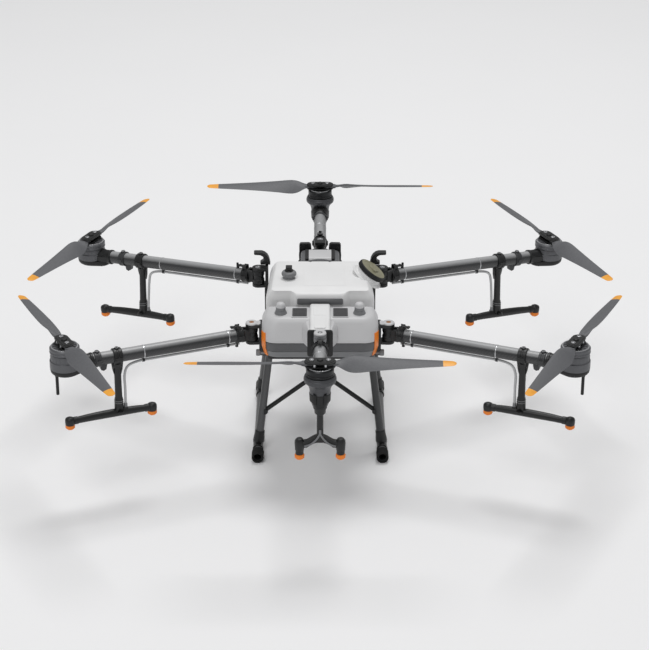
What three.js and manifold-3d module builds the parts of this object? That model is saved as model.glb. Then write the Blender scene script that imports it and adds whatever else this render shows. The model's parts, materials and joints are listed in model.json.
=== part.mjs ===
// Agricultural spray drone: a hexacopter with six folding arms, two-blade folding propellers,
// a liquid tank in the middle, a battery behind it and a pair of spray nozzles under each motor.
// Millimetres. +Z is up, -Y is the nose, and the ground is z = 0.

import * as THREE from "three";
import { mergeVertices } from "three/addons/utils/BufferGeometryUtils.js";
import Module from "manifold-3d";

const wasm = await Module();
wasm.setup();

// ---------------------------------------------------------------- driving dimensions
const GAP = 0.4; // clearance between pieces that rest against each other
const ROUND = 12; // sides of a round piece
const SMALL_ROUND = 6; // sides of a small round piece

const SIDE_MOTOR_X = 946.5;
const SIDE_MOTOR_Y = 504.3;
const END_MOTOR_Y = 860;
const SIDE_BLADE_Z = 682; // height of the side propellers
const END_BLADE_Z = 772; // height of the nose and tail propellers
const PROP_RADIUS = 482; // 38 inch propeller

const TUBE_R = 25; // carbon arm tube
const COLLAR_R = 30;
const KNOB_HEIGHT = 6; // clamp knobs stand this far above a collar
const KNUCKLE_R = 24;
const KNUCKLE_HALF = 28; // half the height of an arm's hinge knuckle
const PIN_R = 8;
const LUG = 12; // thickness of a bracket's lug
const HOSE_R = 5;
const HOSE_DROP = 35; // hose centre below the arm's centre line

const BOLT_R = 5; // blade folding bolt
const BOLT_OFFSET = 30; // bolt to motor shaft
const PLATE_R = 26; // round ends of the plates that clamp the blades
const BLADE_RING_HALF = 5; // half thickness of a blade's root

const BOOM_DROP = 238; // spray bar below the arm's centre line
const BOOM_OUTER = 194; // stem to the outer nozzle
const BOOM_INNER = 130; // stem to the inner nozzle
const END_NOZZLE_X = 74; // nose and tail nozzles, each side of the stem

const PLATE_BOTTOM = 508; // base plate of the airframe
const PLATE_TOP = 530;
const TANK_TOP = 735;
const TANK_FRONT = -180;
const TANK_REAR = 165;
const TANK_WALL = 5;
const HOOD_HALF = 223;
const HOOD_TOP = 682;
const NOSE_HALF = 39.5; // half width of the nose beam
const NOSE_TOP = 695;
const NOSE_FRONT = -434;
const TAIL_REAR = 404;
const BAY_HALF = 86; // battery bay, outside

const CAP_AXIS = new THREE.Vector3(0.6, 0, 0.8); // direction the filler cap faces
const CAP_SEAT = new THREE.Vector3(183, 28, 715); // foot of the filler neck on the tank's shoulder
const CAP_R = 60;
const NECK_R = 52;
const NECK_BORE = 44;
const NECK_HEIGHT = 22;
const BREATHER = [-121, -28]; // breather valve on the tank's top
const ANTENNA = [150, -240]; // one each side, on the hood's top

const SKID_X = 248;
const SKID_R = 17;
const SKID_FRONT = -187;
const SKID_REAR = 477;
const FOOT_R = 24; // rubber sleeve on each end of a skid, standing on the ground
const FOOT_LENGTH = 52;
const PAD_HALF = 10; // half width of the flat under each sleeve
const LEG_R = 14;

// One row per arm: where it is hinged, where its motor is and how it is equipped.
const ARMS = [
  { name: "front", hinge: [0, -470], motor: [0, -END_MOTOR_Y], rootZ: 663, tipZ: 663, end: true, spin: 1 },
  { name: "rear", hinge: [0, 440], motor: [0, END_MOTOR_Y], rootZ: 663, tipZ: 663, end: true, spin: -1 },
];
for (const [side, sign] of [["left", -1], ["right", 1]]) {
  ARMS.push({
    name: "front_" + side,
    hinge: [sign * 262, -227.6],
    motor: [sign * SIDE_MOTOR_X, -SIDE_MOTOR_Y],
    rootZ: 592.5,
    tipZ: 592.5,
    spin: -sign,
    stemInset: 199, // motor axis to the spray boom's stem
    collarInset: 122, // motor axis to the tube's outer collar
    rod: true,
    bladeTurn: -sign * 5, // degrees from square across the arm
  });
  ARMS.push({
    name: "rear_" + side,
    hinge: [sign * 245, 115.7],
    motor: [sign * SIDE_MOTOR_X, SIDE_MOTOR_Y],
    rootZ: 679,
    tipZ: 607,
    spin: sign,
    stemInset: 245,
    collarInset: 158,
    bladeTurn: -sign * 4,
  });
}

// ---------------------------------------------------------------- materials
const finish = (color, roughness, metalness = 0) =>
  new THREE.MeshStandardMaterial({ color, roughness, metalness });
const shellGrey = finish(0xc9cacb, 0.5);
const tankWhite = finish(0xe4e5e5, 0.45);
const carbon = finish(0x3a3b3d, 0.35);
const blackPlastic = finish(0x232426, 0.6);
const alloy = finish(0x8d9093, 0.35, 0.8);
const bladeGrey = finish(0x5d5f62, 0.5);
const rubber = finish(0x151515, 0.85);
const hoseGrey = finish(0xb9bbbb, 0.5);
const capOlive = finish(0x8b8a70, 0.7);

// ---------------------------------------------------------------- solid helpers
// A closed geometry as a solid; its normals and uvs go, so that shared corners merge.
function toSolid(geometry) {
  const bare = geometry.clone();
  bare.deleteAttribute("normal");
  bare.deleteAttribute("uv");
  const merged = mergeVertices(bare, 1e-4);
  return new wasm.Manifold(
    new wasm.Mesh({
      numProp: 3,
      vertProperties: merged.attributes.position.array,
      triVerts: new Uint32Array(merged.index.array),
    }),
  );
}

function toGeometry(solid) {
  const mesh = solid.getMesh();
  const geometry = new THREE.BufferGeometry();
  geometry.setAttribute("position", new THREE.BufferAttribute(mesh.vertProperties, 3));
  geometry.setIndex(new THREE.BufferAttribute(mesh.triVerts, 1));
  return geometry;
}

const join = (...parts) => toGeometry(parts.map(toSolid).reduce((a, b) => a.add(b)));
const cut = (base, ...tools) =>
  toGeometry(tools.map(toSolid).reduce((a, b) => a.subtract(b), toSolid(base)));
const common = (...parts) => toGeometry(parts.map(toSolid).reduce((a, b) => a.intersect(b)));

// A box given by its two corners.
function box(x0, x1, y0, y1, z0, z1) {
  return new THREE.BoxGeometry(x1 - x0, y1 - y0, z1 - z0).translate(
    (x0 + x1) / 2,
    (y0 + y1) / 2,
    (z0 + z1) / 2,
  );
}

// A round bar or cone from one point to another.
function bar(from, to, r0, r1 = r0, sides = ROUND) {
  const a = new THREE.Vector3(...from);
  const b = new THREE.Vector3(...to);
  const along = b.clone().sub(a);
  const turn = new THREE.Quaternion().setFromUnitVectors(
    new THREE.Vector3(0, 1, 0),
    along.clone().normalize(),
  );
  return new THREE.CylinderGeometry(r1, r0, along.length(), sides)
    .applyQuaternion(turn)
    .translate(...a.add(b).multiplyScalar(0.5));
}

// An upright disc or cone frustum.
const post = (x, y, z0, z1, r0, r1 = r0, sides = ROUND) => bar([x, y, z0], [x, y, z1], r0, r1, sides);

// A body of revolution about z: [radius, z] points, starting and ending on the axis.
function turned(profile) {
  const points = profile.map(([r, z]) => new THREE.Vector2(r, z));
  return new THREE.LatheGeometry(points, ROUND).rotateX(Math.PI / 2);
}

const outline = (points) => new THREE.Shape(points.map(([x, y]) => new THREE.Vector2(x, y)));

function prism(shape, depth) {
  return new THREE.ExtrudeGeometry(shape, { depth, bevelEnabled: false, curveSegments: 3 });
}

// A plan outline raised from z0 to z1.
const raise = (shape, z0, z1) => prism(shape, z1 - z0).translate(0, 0, z0);

// An outline of [y, z] points carried from x0 to x1.
const acrossX = (points, x0, x1) =>
  prism(outline(points), x1 - x0)
    .rotateX(Math.PI / 2)
    .rotateZ(Math.PI / 2)
    .translate(x0, 0, 0);

// An outline of [x, z] points carried from y0 to y1.
const acrossY = (points, y0, y1) =>
  prism(outline(points), y1 - y0)
    .rotateX(Math.PI / 2)
    .translate(0, y1, 0);

// A rectangle with rounded corners.
function roundedRect(x0, x1, y0, y1, r) {
  const shape = new THREE.Shape();
  shape.moveTo(x0 + r, y0);
  shape.lineTo(x1 - r, y0);
  shape.absarc(x1 - r, y0 + r, r, -Math.PI / 2, 0);
  shape.lineTo(x1, y1 - r);
  shape.absarc(x1 - r, y1 - r, r, 0, Math.PI / 2);
  shape.lineTo(x0 + r, y1);
  shape.absarc(x0 + r, y1 - r, r, Math.PI / 2, Math.PI);
  shape.lineTo(x0, y0 + r);
  shape.absarc(x0 + r, y0 + r, r, Math.PI, Math.PI * 1.5);
  return shape;
}

// Two round ends of radii r0 at y = -half and r1 at y = +half, joined by straight sides.
function lozenge(half, r0, r1 = r0) {
  const lean = Math.asin((r0 - r1) / (2 * half));
  const shape = new THREE.Shape();
  shape.absarc(0, half, r1, lean, Math.PI - lean);
  shape.absarc(0, -half, r0, Math.PI - lean, Math.PI * 2 + lean);
  return shape;
}

// A closed skin over rings of points, the first and last ring capped by a fan.
function loft(rings) {
  const count = rings[0].length;
  const positions = rings.flat(2);
  const index = [];
  for (let i = 0; i + 1 < rings.length; i += 1) {
    for (let j = 0; j < count; j += 1) {
      const a = i * count + j;
      const b = i * count + ((j + 1) % count);
      index.push(a, b, b + count, a, b + count, a + count);
    }
  }
  const last = (rings.length - 1) * count;
  for (let j = 1; j + 1 < count; j += 1) {
    index.push(0, j + 1, j, last, last + j, last + j + 1);
  }
  const geometry = new THREE.BufferGeometry();
  geometry.setAttribute("position", new THREE.Float32BufferAttribute(positions, 3));
  geometry.setIndex(index);
  return geometry;
}

function flipped(geometry) {
  const index = geometry.index.array;
  for (let i = 0; i < index.length; i += 3) {
    [index[i + 1], index[i + 2]] = [index[i + 2], index[i + 1]];
  }
  return geometry;
}

function addMesh(parent, name, geometry, material) {
  const mesh = new THREE.Mesh(geometry, material);
  mesh.name = name;
  parent.add(mesh);
  return mesh;
}

// ---------------------------------------------------------------- propeller
const BLADE_STATIONS = [
  // radius, chord, thickness
  [36, 22, 9],
  [66, 42, 9],
  [100, 64, 9],
  [135, 73, 8],
  [240, 62, 7],
  [370, 45, 5],
  [466, 31, 4],
  [PROP_RADIUS, 12, 2],
];
const PITCH_SLOPE = 0.165; // tangent of the pitch angle at the blade's tip
const MAX_PITCH = 0.6; // radians, near the root
const FLAT_RADIUS = 44; // the root is flat up to here
// Blade section: fraction of the chord behind the leading edge, and fraction of the thickness.
const SECTION = [
  [0, 0],
  [0.15, 0.45],
  [0.45, 0.6],
  [1, 0.06],
  [0.45, -0.28],
  [0.15, -0.3],
];
const PIVOT_FRACTION = 0.45; // chord fraction that lies on the blade's line

function bladePitch(radius) {
  const full = Math.min(MAX_PITCH, Math.atan((PITCH_SLOPE * PROP_RADIUS) / radius));
  return full * THREE.MathUtils.smoothstep(radius, FLAT_RADIUS, 2.4 * FLAT_RADIUS);
}

// A blade lies along +y from its bolt; spin +1 turns it anticlockwise seen from above.
function bladeGeometry(spin) {
  const rings = BLADE_STATIONS.map(([radius, chord, thickness]) => {
    const pitch = bladePitch(radius);
    return SECTION.map(([back, up]) => {
      const c = (back - PIVOT_FRACTION) * chord;
      const t = up * thickness;
      const x = c * Math.cos(pitch) + t * Math.sin(pitch);
      const z = t * Math.cos(pitch) - c * Math.sin(pitch);
      return [spin * x, radius, z];
    });
  });
  const skin = spin > 0 ? loft(rings) : flipped(loft(rings));
  const ring = post(0, BOLT_OFFSET, -BLADE_RING_HALF, BLADE_RING_HALF, 14);
  const bore = post(0, BOLT_OFFSET, -20, 20, BOLT_R + GAP);
  return cut(join(skin, ring), bore);
}

// Rotor: the motor's turning bell with the clamp plates that hold both blades.
function rotorGeometry(bellR, bellHeight) {
  const top = -BLADE_RING_HALF - GAP - 5;
  const bell = turned([
    [0, top - bellHeight],
    [bellR, top - bellHeight],
    [bellR, top - 4],
    [bellR - 5, top],
    [0, top],
  ]);
  const plate = lozenge(BOLT_OFFSET, PLATE_R);
  const inner = BLADE_RING_HALF + GAP;
  return join(
    bell,
    raise(plate, top - 1, -inner),
    raise(plate, inner, inner + 5),
    post(0, 0, -inner - 1, inner + 1, 13),
    post(0, 0, inner + 4, 18, 11, 8),
    ...[-1, 1].map((s) => post(0, s * BOLT_OFFSET, -inner - 1, inner + 8, BOLT_R, BOLT_R, SMALL_ROUND)),
  );
}

// ---------------------------------------------------------------- arm pieces
const END_BELL = { r: 50, height: 33 };
const SIDE_BELL = { r: 56, height: 26 };
const SIDE_NECK = 105; // motor axis to the inner end of a side motor mount
const END_NECK = 78;
const SOCKET_START = 36; // hinge pin to the tube's inner collar
const SOCKET_END = 68;

// Arm: hinge knuckle, socket and tube along +x; the tube may droop towards the motor.
function armGeometry(arm) {
  const tubeEnd = arm.reach - arm.neck - GAP;
  const knuckle = join(
    post(0, 0, -KNUCKLE_HALF, KNUCKLE_HALF, KNUCKLE_R),
    box(0, SOCKET_START + 8, -19, 19, -24, 24),
  );
  const pieces = [
    knuckle,
    bar([SOCKET_START, 0, 0], [SOCKET_END, 0, 0], COLLAR_R).rotateY(arm.droop),
    bar([SOCKET_START + 4, 0, 0], [tubeEnd, 0, 0], TUBE_R).rotateY(arm.droop),
  ];
  if (arm.collarInset) {
    const x = arm.reach - arm.collarInset;
    pieces.push(bar([x - 13, 0, 0], [x + 13, 0, 0], COLLAR_R).rotateY(arm.droop));
    pieces.push(post(x, 0, TUBE_R, COLLAR_R + KNOB_HEIGHT, 9, 9, SMALL_ROUND).rotateY(arm.droop));
  }
  return cut(join(...pieces), post(0, 0, -60, 60, PIN_R + GAP));
}

// Mount of a side motor: a round can over a teardrop fairing, with the tube's socket.
function sideMountGeometry(arm) {
  const top = SIDE_BLADE_Z - arm.tipZ - BLADE_RING_HALF - 5 - 2 * GAP - SIDE_BELL.height;
  const fairing = lozenge(28, 34, 58)
    .getPoints(4)
    .map((p) => [p.y - 28, -p.x]);
  const pieces = [
    post(0, 0, -24, top, 58),
    raise(outline(fairing), -34, -2),
    bar([-arm.neck, 0, arm.neck * Math.sin(arm.droop)], [-20, 0, 20 * Math.sin(arm.droop)], COLLAR_R),
  ];
  if (arm.rod) pieces.push(post(35, 0, -118, -30, 6, 6, SMALL_ROUND));
  return join(...pieces);
}

// Mount of a nose or tail motor: a turned pod that tapers downwards, with the tube's socket.
function endMountGeometry(arm) {
  const top = END_BLADE_Z - arm.tipZ - BLADE_RING_HALF - 5 - 2 * GAP - END_BELL.height;
  const pod = turned([
    [0, -57],
    [28, -57],
    [35, -34],
    [38, 14],
    [44, 28],
    [58, 40],
    [58, top - 10],
    [52, top],
    [0, top],
  ]);
  return join(pod, bar([-arm.neck, 0, 0], [-16, 0, 0], 29, 40));
}

// Spray boom of a side arm: a clamp round the tube, an upright stem, and a bar with a nozzle on each end.
// The stem leans against the tube's droop, so that it stands upright under a sloping tube.
function sideBoomGeometry(droop) {
  const foot = BOOM_DROP * Math.tan(droop);
  const clamp = cut(
    bar([-18, 0, 0], [18, 0, 0], COLLAR_R + 2),
    bar([-30, 0, 0], [30, 0, 0], TUBE_R + GAP),
  );
  const nozzle = (x) =>
    join(
      post(x, 0, -BOOM_DROP - 14, -BOOM_DROP + 12, 15, 16, SMALL_ROUND),
      post(x, 0, -BOOM_DROP - 34, -BOOM_DROP - 10, 13, 18, SMALL_ROUND),
    );
  return join(
    clamp,
    post(0, 0, COLLAR_R, COLLAR_R + KNOB_HEIGHT, 9, 9, SMALL_ROUND),
    bar([foot, 0, -BOOM_DROP], [0, 0, -COLLAR_R], 17, 13),
    bar([foot - BOOM_INNER, 0, -BOOM_DROP], [foot + BOOM_OUTER, 0, -BOOM_DROP], 13),
    nozzle(foot - BOOM_INNER),
    nozzle(foot + BOOM_OUTER),
  );
}

// Spray boom of the nose or tail arm: a stem under the pod and a yoke with two nozzles.
function endBoomGeometry() {
  const top = -57 - GAP;
  const yoke = acrossX(
    [
      [-62, -224], [-62, -198], [-50, -196], [-22, -182], [22, -182], [50, -196],
      [62, -198], [62, -224], [44, -222], [24, -206], [-24, -206], [-44, -222],
    ],
    -12,
    12,
  );
  const nozzle = (y) =>
    join(
      post(0, y, -240, -190, 16, 16, SMALL_ROUND),
      post(0, y, -252, -238, 15, 13, SMALL_ROUND),
      post(0, y, -274, -250, 13, 18, SMALL_ROUND),
    );
  return join(
    post(0, 0, top - 30, top, 19, 26),
    post(0, 0, -196, top - 28, 13),
    yoke,
    nozzle(-END_NOZZLE_X),
    nozzle(END_NOZZLE_X),
  );
}

// Hose along the underside of the arm and down to the spray bar.
function hoseGeometry(points) {
  const path = new THREE.CatmullRomCurve3(points.map((p) => new THREE.Vector3(...p)));
  const section = new THREE.Shape().absarc(0, 0, HOSE_R, 0, Math.PI * 2);
  return new THREE.ExtrudeGeometry(section, {
    steps: 14,
    curveSegments: 4,
    extrudePath: path,
  });
}

function sideHoseRoute(stemX, droop) {
  const foot = BOOM_DROP * Math.tan(droop);
  return [
    [52, 0, -HOSE_DROP],
    [160, 0, -HOSE_DROP],
    [stemX - 150, 0, -HOSE_DROP],
    [stemX - 85, 0, -HOSE_DROP - 1],
    [stemX - 42, 0, -HOSE_DROP - 14],
    [stemX - 27, 0, -HOSE_DROP - 50],
    [stemX - 27 + foot / 2, 0, -HOSE_DROP - 110],
    [stemX - 26 + foot, 0, -BOOM_DROP + 13 + HOSE_R],
  ];
}

function endHoseRoute(podX) {
  return [
    [52, 0, -HOSE_DROP],
    [130, 0, -HOSE_DROP],
    [podX - 130, 0, -HOSE_DROP],
    [podX - 84, 0, -HOSE_DROP - 8],
    [podX - 52, 0, -HOSE_DROP - 46],
    [podX - 28, 0, -HOSE_DROP - 84],
    [podX - 19, 0, -HOSE_DROP - 118],
    [podX - 18.6, 0, -HOSE_DROP - 119],
  ];
}

// Lock lever: lies along the arm from the inner collar, and flips up to free the hinge.
const LOCK_X = 56;
const LOCK_Z = COLLAR_R + 7;
function lockGeometry() {
  return join(
    bar([0, -8, 0], [0, 8, 0], 6, 6, SMALL_ROUND),
    box(0, 26, -7, 7, -4, 4),
    bar([26, -7, 0], [26, 7, 0], 5, 5, SMALL_ROUND),
  );
}

function buildArm(row) {
  const dx = row.motor[0] - row.hinge[0];
  const dy = row.motor[1] - row.hinge[1];
  const reach = Math.hypot(dx, dy);
  const droop = Math.atan2(row.rootZ - row.tipZ, reach);
  const arm = { ...row, reach, droop, neck: row.end ? END_NECK : SIDE_NECK };
  const group = new THREE.Group();
  group.position.set(row.hinge[0], row.hinge[1], 0);
  group.rotation.z = Math.atan2(dy, dx);

  const root = new THREE.Group();
  root.position.z = row.rootZ;
  group.add(root);
  addMesh(root, "arm_" + row.name, armGeometry(arm), carbon);

  const sloped = new THREE.Group();
  sloped.rotation.y = droop;
  root.add(sloped);
  const lock = addMesh(sloped, "lock_" + row.name, lockGeometry(), blackPlastic);
  lock.position.set(LOCK_X, 0, LOCK_Z);
  const stemX = row.end ? reach : reach - row.stemInset;
  const route = row.end ? endHoseRoute(stemX) : sideHoseRoute(stemX, droop);
  addMesh(sloped, "hose_" + row.name, hoseGeometry(route), hoseGrey);
  const boom = addMesh(
    sloped,
    "boom_" + row.name,
    row.end ? endBoomGeometry() : sideBoomGeometry(droop),
    blackPlastic,
  );
  boom.position.x = stemX;

  const tip = new THREE.Group();
  tip.position.set(reach, 0, row.tipZ);
  group.add(tip);
  addMesh(tip, "mount_" + row.name, row.end ? endMountGeometry(arm) : sideMountGeometry(arm), blackPlastic);

  const hub = new THREE.Group();
  hub.position.set(reach, 0, row.end ? END_BLADE_Z : SIDE_BLADE_Z);
  hub.rotation.z = THREE.MathUtils.degToRad(row.bladeTurn ?? 0);
  group.add(hub);
  const bell = row.end ? END_BELL : SIDE_BELL;
  addMesh(hub, "rotor_" + row.name, rotorGeometry(bell.r, bell.height), alloy);
  const blade = bladeGeometry(row.spin);
  addMesh(hub, "blade_a_" + row.name, blade, bladeGrey);
  const second = addMesh(hub, "blade_b_" + row.name, blade, bladeGrey);
  second.rotation.z = Math.PI;
  return group;
}

// ---------------------------------------------------------------- airframe
// Lugs and pin that hold an arm's knuckle; the lugs reach back to the airframe along dir.
function hingeLugs([x, y], z, dir, reach) {
  const pieces = [post(0, 0, -KNUCKLE_HALF - 6, KNUCKLE_HALF + 6, PIN_R)];
  for (const s of [-1, 1]) {
    const near = s * (KNUCKLE_HALF + GAP);
    const far = s * (KNUCKLE_HALF + GAP + LUG);
    const [z0, z1] = [Math.min(near, far), Math.max(near, far)];
    pieces.push(post(0, 0, z0, z1, KNUCKLE_R));
    pieces.push(box(0, reach, -KNUCKLE_R, KNUCKLE_R, z0, z1));
  }
  return pieces.map((p) => p.rotateZ(dir).translate(x, y, z));
}

const FRONT_BLOCK = { x0: 195, x1: 234, y0: -257, y1: -200, top: 637 };
const REAR_POST = { x0: 205, x1: 217, y0: 92, y1: 145, top: 726 };

function airframeGeometry() {
  const pieces = [
    raise(roundedRect(-205, 205, -285, 175, 20), PLATE_BOTTOM, PLATE_TOP),
    box(-BAY_HALF, BAY_HALF, 170, TAIL_REAR, PLATE_BOTTOM, PLATE_TOP),
    raise(roundedRect(-208, 208, 300, 360, 10), PLATE_BOTTOM, PLATE_TOP),
    box(-BAY_HALF, BAY_HALF, TAIL_REAR - 20, TAIL_REAR, PLATE_TOP - 1, 706),
    acrossX(
      [
        [NOSE_FRONT, NOSE_TOP], [NOSE_FRONT, 598], [-270, 598], [-270, PLATE_TOP - 1],
        [TANK_FRONT - 1, PLATE_TOP - 1], [TANK_FRONT - 1, NOSE_TOP],
      ],
      -NOSE_HALF,
      NOSE_HALF,
    ),
    acrossY([[-48, 590], [48, 590], [48, 690], [40, 698], [-40, 698], [-48, 690]], NOSE_FRONT, NOSE_FRONT + 12),
    ...hingeLugs([0, -470], 663, Math.PI / 2, 470 + NOSE_FRONT + 1),
    ...hingeLugs([0, 440], 663, -Math.PI / 2, 440 - TAIL_REAR + 1),
  ];
  for (const s of [-1, 1]) {
    const span = (a, b) => [Math.min(s * a, s * b), Math.max(s * a, s * b)];
    pieces.push(box(...span(BAY_HALF - 5, BAY_HALF), TANK_REAR + 3, TAIL_REAR - 1, PLATE_TOP - 1, 640));
    pieces.push(box(...span(62, 170), -262, -192, PLATE_TOP - 1, 636));
    const { x0, x1, y0, y1, top } = FRONT_BLOCK;
    pieces.push(box(...span(x0, x1), y0, y1, PLATE_BOTTOM, top));
    pieces.push(box(...span(REAR_POST.x0, REAR_POST.x1), REAR_POST.y0, REAR_POST.y1, PLATE_BOTTOM, REAR_POST.top));
    pieces.push(box(...span(190, REAR_POST.x1), REAR_POST.y0, REAR_POST.y1, PLATE_BOTTOM, PLATE_TOP));
    const inward = s > 0 ? Math.PI : 0;
    pieces.push(...hingeLugs([s * 262, -227.6], 592.5, inward, 30));
    pieces.push(...hingeLugs([s * 245, 115.7], 679, inward, 30));
  }
  return join(...pieces);
}

// Hood over the electronics in front of the tank: a shell, open at the back and underneath.
const HOOD_PROFILE = [
  [TANK_FRONT - GAP, HOOD_TOP], [-272, HOOD_TOP], [-292, 672], [-326, 610], [-331, 596],
  [-326, 582], [-306, 548], [-296, 521], [TANK_FRONT - GAP, 521],
];
const HOOD_INNER = [
  [TANK_FRONT + 20, HOOD_TOP - 5], [-270, HOOD_TOP - 5], [-288, 669], [-321, 609], [-326, 596],
  [-321, 583], [-301, 546], [-291, 500], [TANK_FRONT + 20, 500],
];

function hoodGeometry() {
  const outer = common(
    acrossX(HOOD_PROFILE, -HOOD_HALF, HOOD_HALF),
    raise(roundedRect(-HOOD_HALF, HOOD_HALF, -331, TANK_FRONT + 80, 56), 500, 700),
    acrossY(
      [[-223, 500], [223, 500], [223, 640], [208, 676], [198, 700], [-198, 700], [-208, 676], [-223, 640]],
      -340,
      -100,
    ),
  );
  const inner = common(
    acrossX(HOOD_INNER, -HOOD_HALF + 5, HOOD_HALF - 5),
    raise(roundedRect(-HOOD_HALF + 5, HOOD_HALF - 5, -326, TANK_FRONT + 80, 51), 490, 700),
  );
  const slots = [box(-NOSE_HALF - GAP, NOSE_HALF + GAP, -340, -160, 597, 700)];
  for (const s of [-1, 1]) {
    const x = s > 0 ? [188, 240] : [-240, -188];
    slots.push(box(...x, FRONT_BLOCK.y0 - 3, -160, 500, FRONT_BLOCK.top + 3));
  }
  const antennas = [-1, 1].flatMap((s) => [
    post(s * ANTENNA[0], ANTENNA[1], HOOD_TOP - 3, HOOD_TOP + 12, 24, 20),
    post(s * ANTENNA[0], ANTENNA[1], HOOD_TOP + 11, HOOD_TOP + 44, 19, 15),
  ]);
  return join(cut(outer, inner, ...slots), ...antennas);
}

// ---------------------------------------------------------------- tank and cap
function tankBody(inset) {
  const plan = new THREE.Shape();
  const [front, rear] = [212 - inset, 200 - inset];
  const [y0, y1, r] = [TANK_FRONT + inset, TANK_REAR - inset, 34 - inset];
  plan.moveTo(-front + r, y0);
  plan.lineTo(front - r, y0);
  plan.absarc(front - r, y0 + r, r, -Math.PI / 2, 0);
  plan.lineTo(rear, y1 - 110);
  plan.lineTo(rear, y1 - r);
  plan.absarc(rear - r, y1 - r, r, 0, Math.PI / 2);
  plan.lineTo(-rear + r, y1);
  plan.absarc(-rear + r, y1 - r, r, Math.PI / 2, Math.PI);
  plan.lineTo(-rear, y1 - 110);
  plan.lineTo(-front, y0 + r);
  plan.absarc(-front + r, y0 + r, r, Math.PI, Math.PI * 1.5);
  const top = TANK_TOP - inset;
  const bottom = PLATE_TOP + GAP + inset;
  const side = [
    [y0 - 1, bottom], [y1 - 20, bottom], [y1 + 1, bottom + 24], [y1 + 1, top - 16],
    [y1 - 22, top], [-112, top], [y0 - 1, top - 12],
  ];
  const section = [
    [-215, bottom], [215, bottom], [212 - inset, 690], [186 - inset / 2, top],
    [-186 + inset / 2, top], [-212 + inset, 690],
  ];
  return common(raise(plan, bottom, top), acrossX(side, -230, 230), acrossY(section, -200, 200));
}

function alongCap(from, to, radius, sides = ROUND) {
  const a = CAP_SEAT.clone().addScaledVector(CAP_AXIS, from);
  const b = CAP_SEAT.clone().addScaledVector(CAP_AXIS, to);
  return bar([...a], [...b], radius, radius, sides);
}

// What is cut off the tank's rear right corner to make the slope that the filler neck stands on.
function shoulderCut(inset) {
  const along = (t) => [
    CAP_SEAT.x + t * CAP_AXIS.z - inset * CAP_AXIS.x,
    CAP_SEAT.z - t * CAP_AXIS.x - inset * CAP_AXIS.z,
  ];
  return acrossY([along(-120), along(60), [300, 600], [300, 800]], CAP_SEAT.y - 66 - inset, 230);
}

function tankGeometry() {
  const outside = join(
    cut(tankBody(0), shoulderCut(0)),
    alongCap(-44, NECK_HEIGHT, NECK_R),
    post(BREATHER[0], BREATHER[1], TANK_TOP - TANK_WALL / 2, TANK_TOP + 34, 29, 26),
    post(BREATHER[0], BREATHER[1], TANK_TOP + 33, TANK_TOP + 50, 17, 15),
  );
  const inside = cut(tankBody(TANK_WALL), shoulderCut(TANK_WALL));
  return cut(outside, join(inside, alongCap(-10, NECK_HEIGHT + 10, NECK_BORE)));
}

function capGeometry() {
  return join(
    alongCap(NECK_HEIGHT + GAP, NECK_HEIGHT + 22, CAP_R, 16),
    alongCap(NECK_HEIGHT + 20, NECK_HEIGHT + 30, 22),
  );
}

// ---------------------------------------------------------------- battery, pump and landing gear
function batteryGeometry() {
  const half = BAY_HALF - 5 - 2;
  return join(
    raise(roundedRect(-half, half, TANK_REAR + 8, TAIL_REAR - 24, 12), PLATE_TOP + GAP, 684),
    box(-60, 60, TANK_REAR + 90, TAIL_REAR - 40, 680, 694),
  );
}

function pumpGeometry() {
  return join(
    raise(roundedRect(-56, 56, -150, 20, 16), 400, PLATE_BOTTOM - GAP),
    post(0, -68, 345, 402, 38),
    box(-30, 30, -90, -46, 300, 347),
  );
}

const LEGS = [
  { foot: [SKID_X, -78, 30], top: [188, -60, 520] },
  { foot: [SKID_X, 400, 30], top: [188, 330, 520] },
];

function gearGeometry(s) {
  const flip = ([x, y, z]) => [s * x, y, z];
  const legs = LEGS.map(({ foot, top }) => bar(flip(foot), flip(top), LEG_R + 2, LEG_R));
  const below = box(-300, 300, -300, 600, -10, PLATE_BOTTOM - GAP);
  const x = s * SKID_X;
  return join(
    common(join(...legs), below),
    bar([x, SKID_FRONT + 10, FOOT_R], [x, SKID_REAR - 10, FOOT_R], SKID_R),
    ...[SKID_FRONT, SKID_REAR - FOOT_LENGTH].flatMap((y) => [
      bar([x, y, FOOT_R], [x, y + FOOT_LENGTH, FOOT_R], FOOT_R),
      box(x - PAD_HALF, x + PAD_HALF, y + 2, y + FOOT_LENGTH - 2, 0, PAD_HALF),
    ]),
  );
}

// Slanted brace from the front leg up to the bracket under the pump.
function braceGeometry(s) {
  const { foot, top } = LEGS[0];
  const leg = bar([s * foot[0], foot[1], foot[2]], [s * top[0], top[1], top[2]], LEG_R + 2 + GAP, LEG_R + GAP);
  const lower = [s * 222, -72, 176];
  const upper = [s * (30 + GAP), -68, 324];
  const rod = bar(lower, upper, 9, 9, SMALL_ROUND);
  const clear = box(-30 - GAP, 30 + GAP, -100, -30, 250, 347 + GAP);
  const outside = s > 0 ? box(219, 300, -120, -20, 100, 260) : box(-300, -219, -120, -20, 100, 260);
  return cut(rod, leg, clear, outside);
}

// Storage hook: an open claw on top of the rear bracket, for a folded arm.
function hookGeometry(s) {
  const base = REAR_POST.top + GAP;
  const claw = [
    [196, base], [236, base], [238, base + 8], [226, base + 14], [221, base + 24], [226, base + 35],
    [236, base + 40], [262, base + 41], [262, base + 51], [230, base + 51], [212, base + 42], [202, base + 24],
  ];
  return acrossY(s > 0 ? claw : claw.map(([x, z]) => [-x, z]).reverse(), 120, 150);
}

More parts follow.
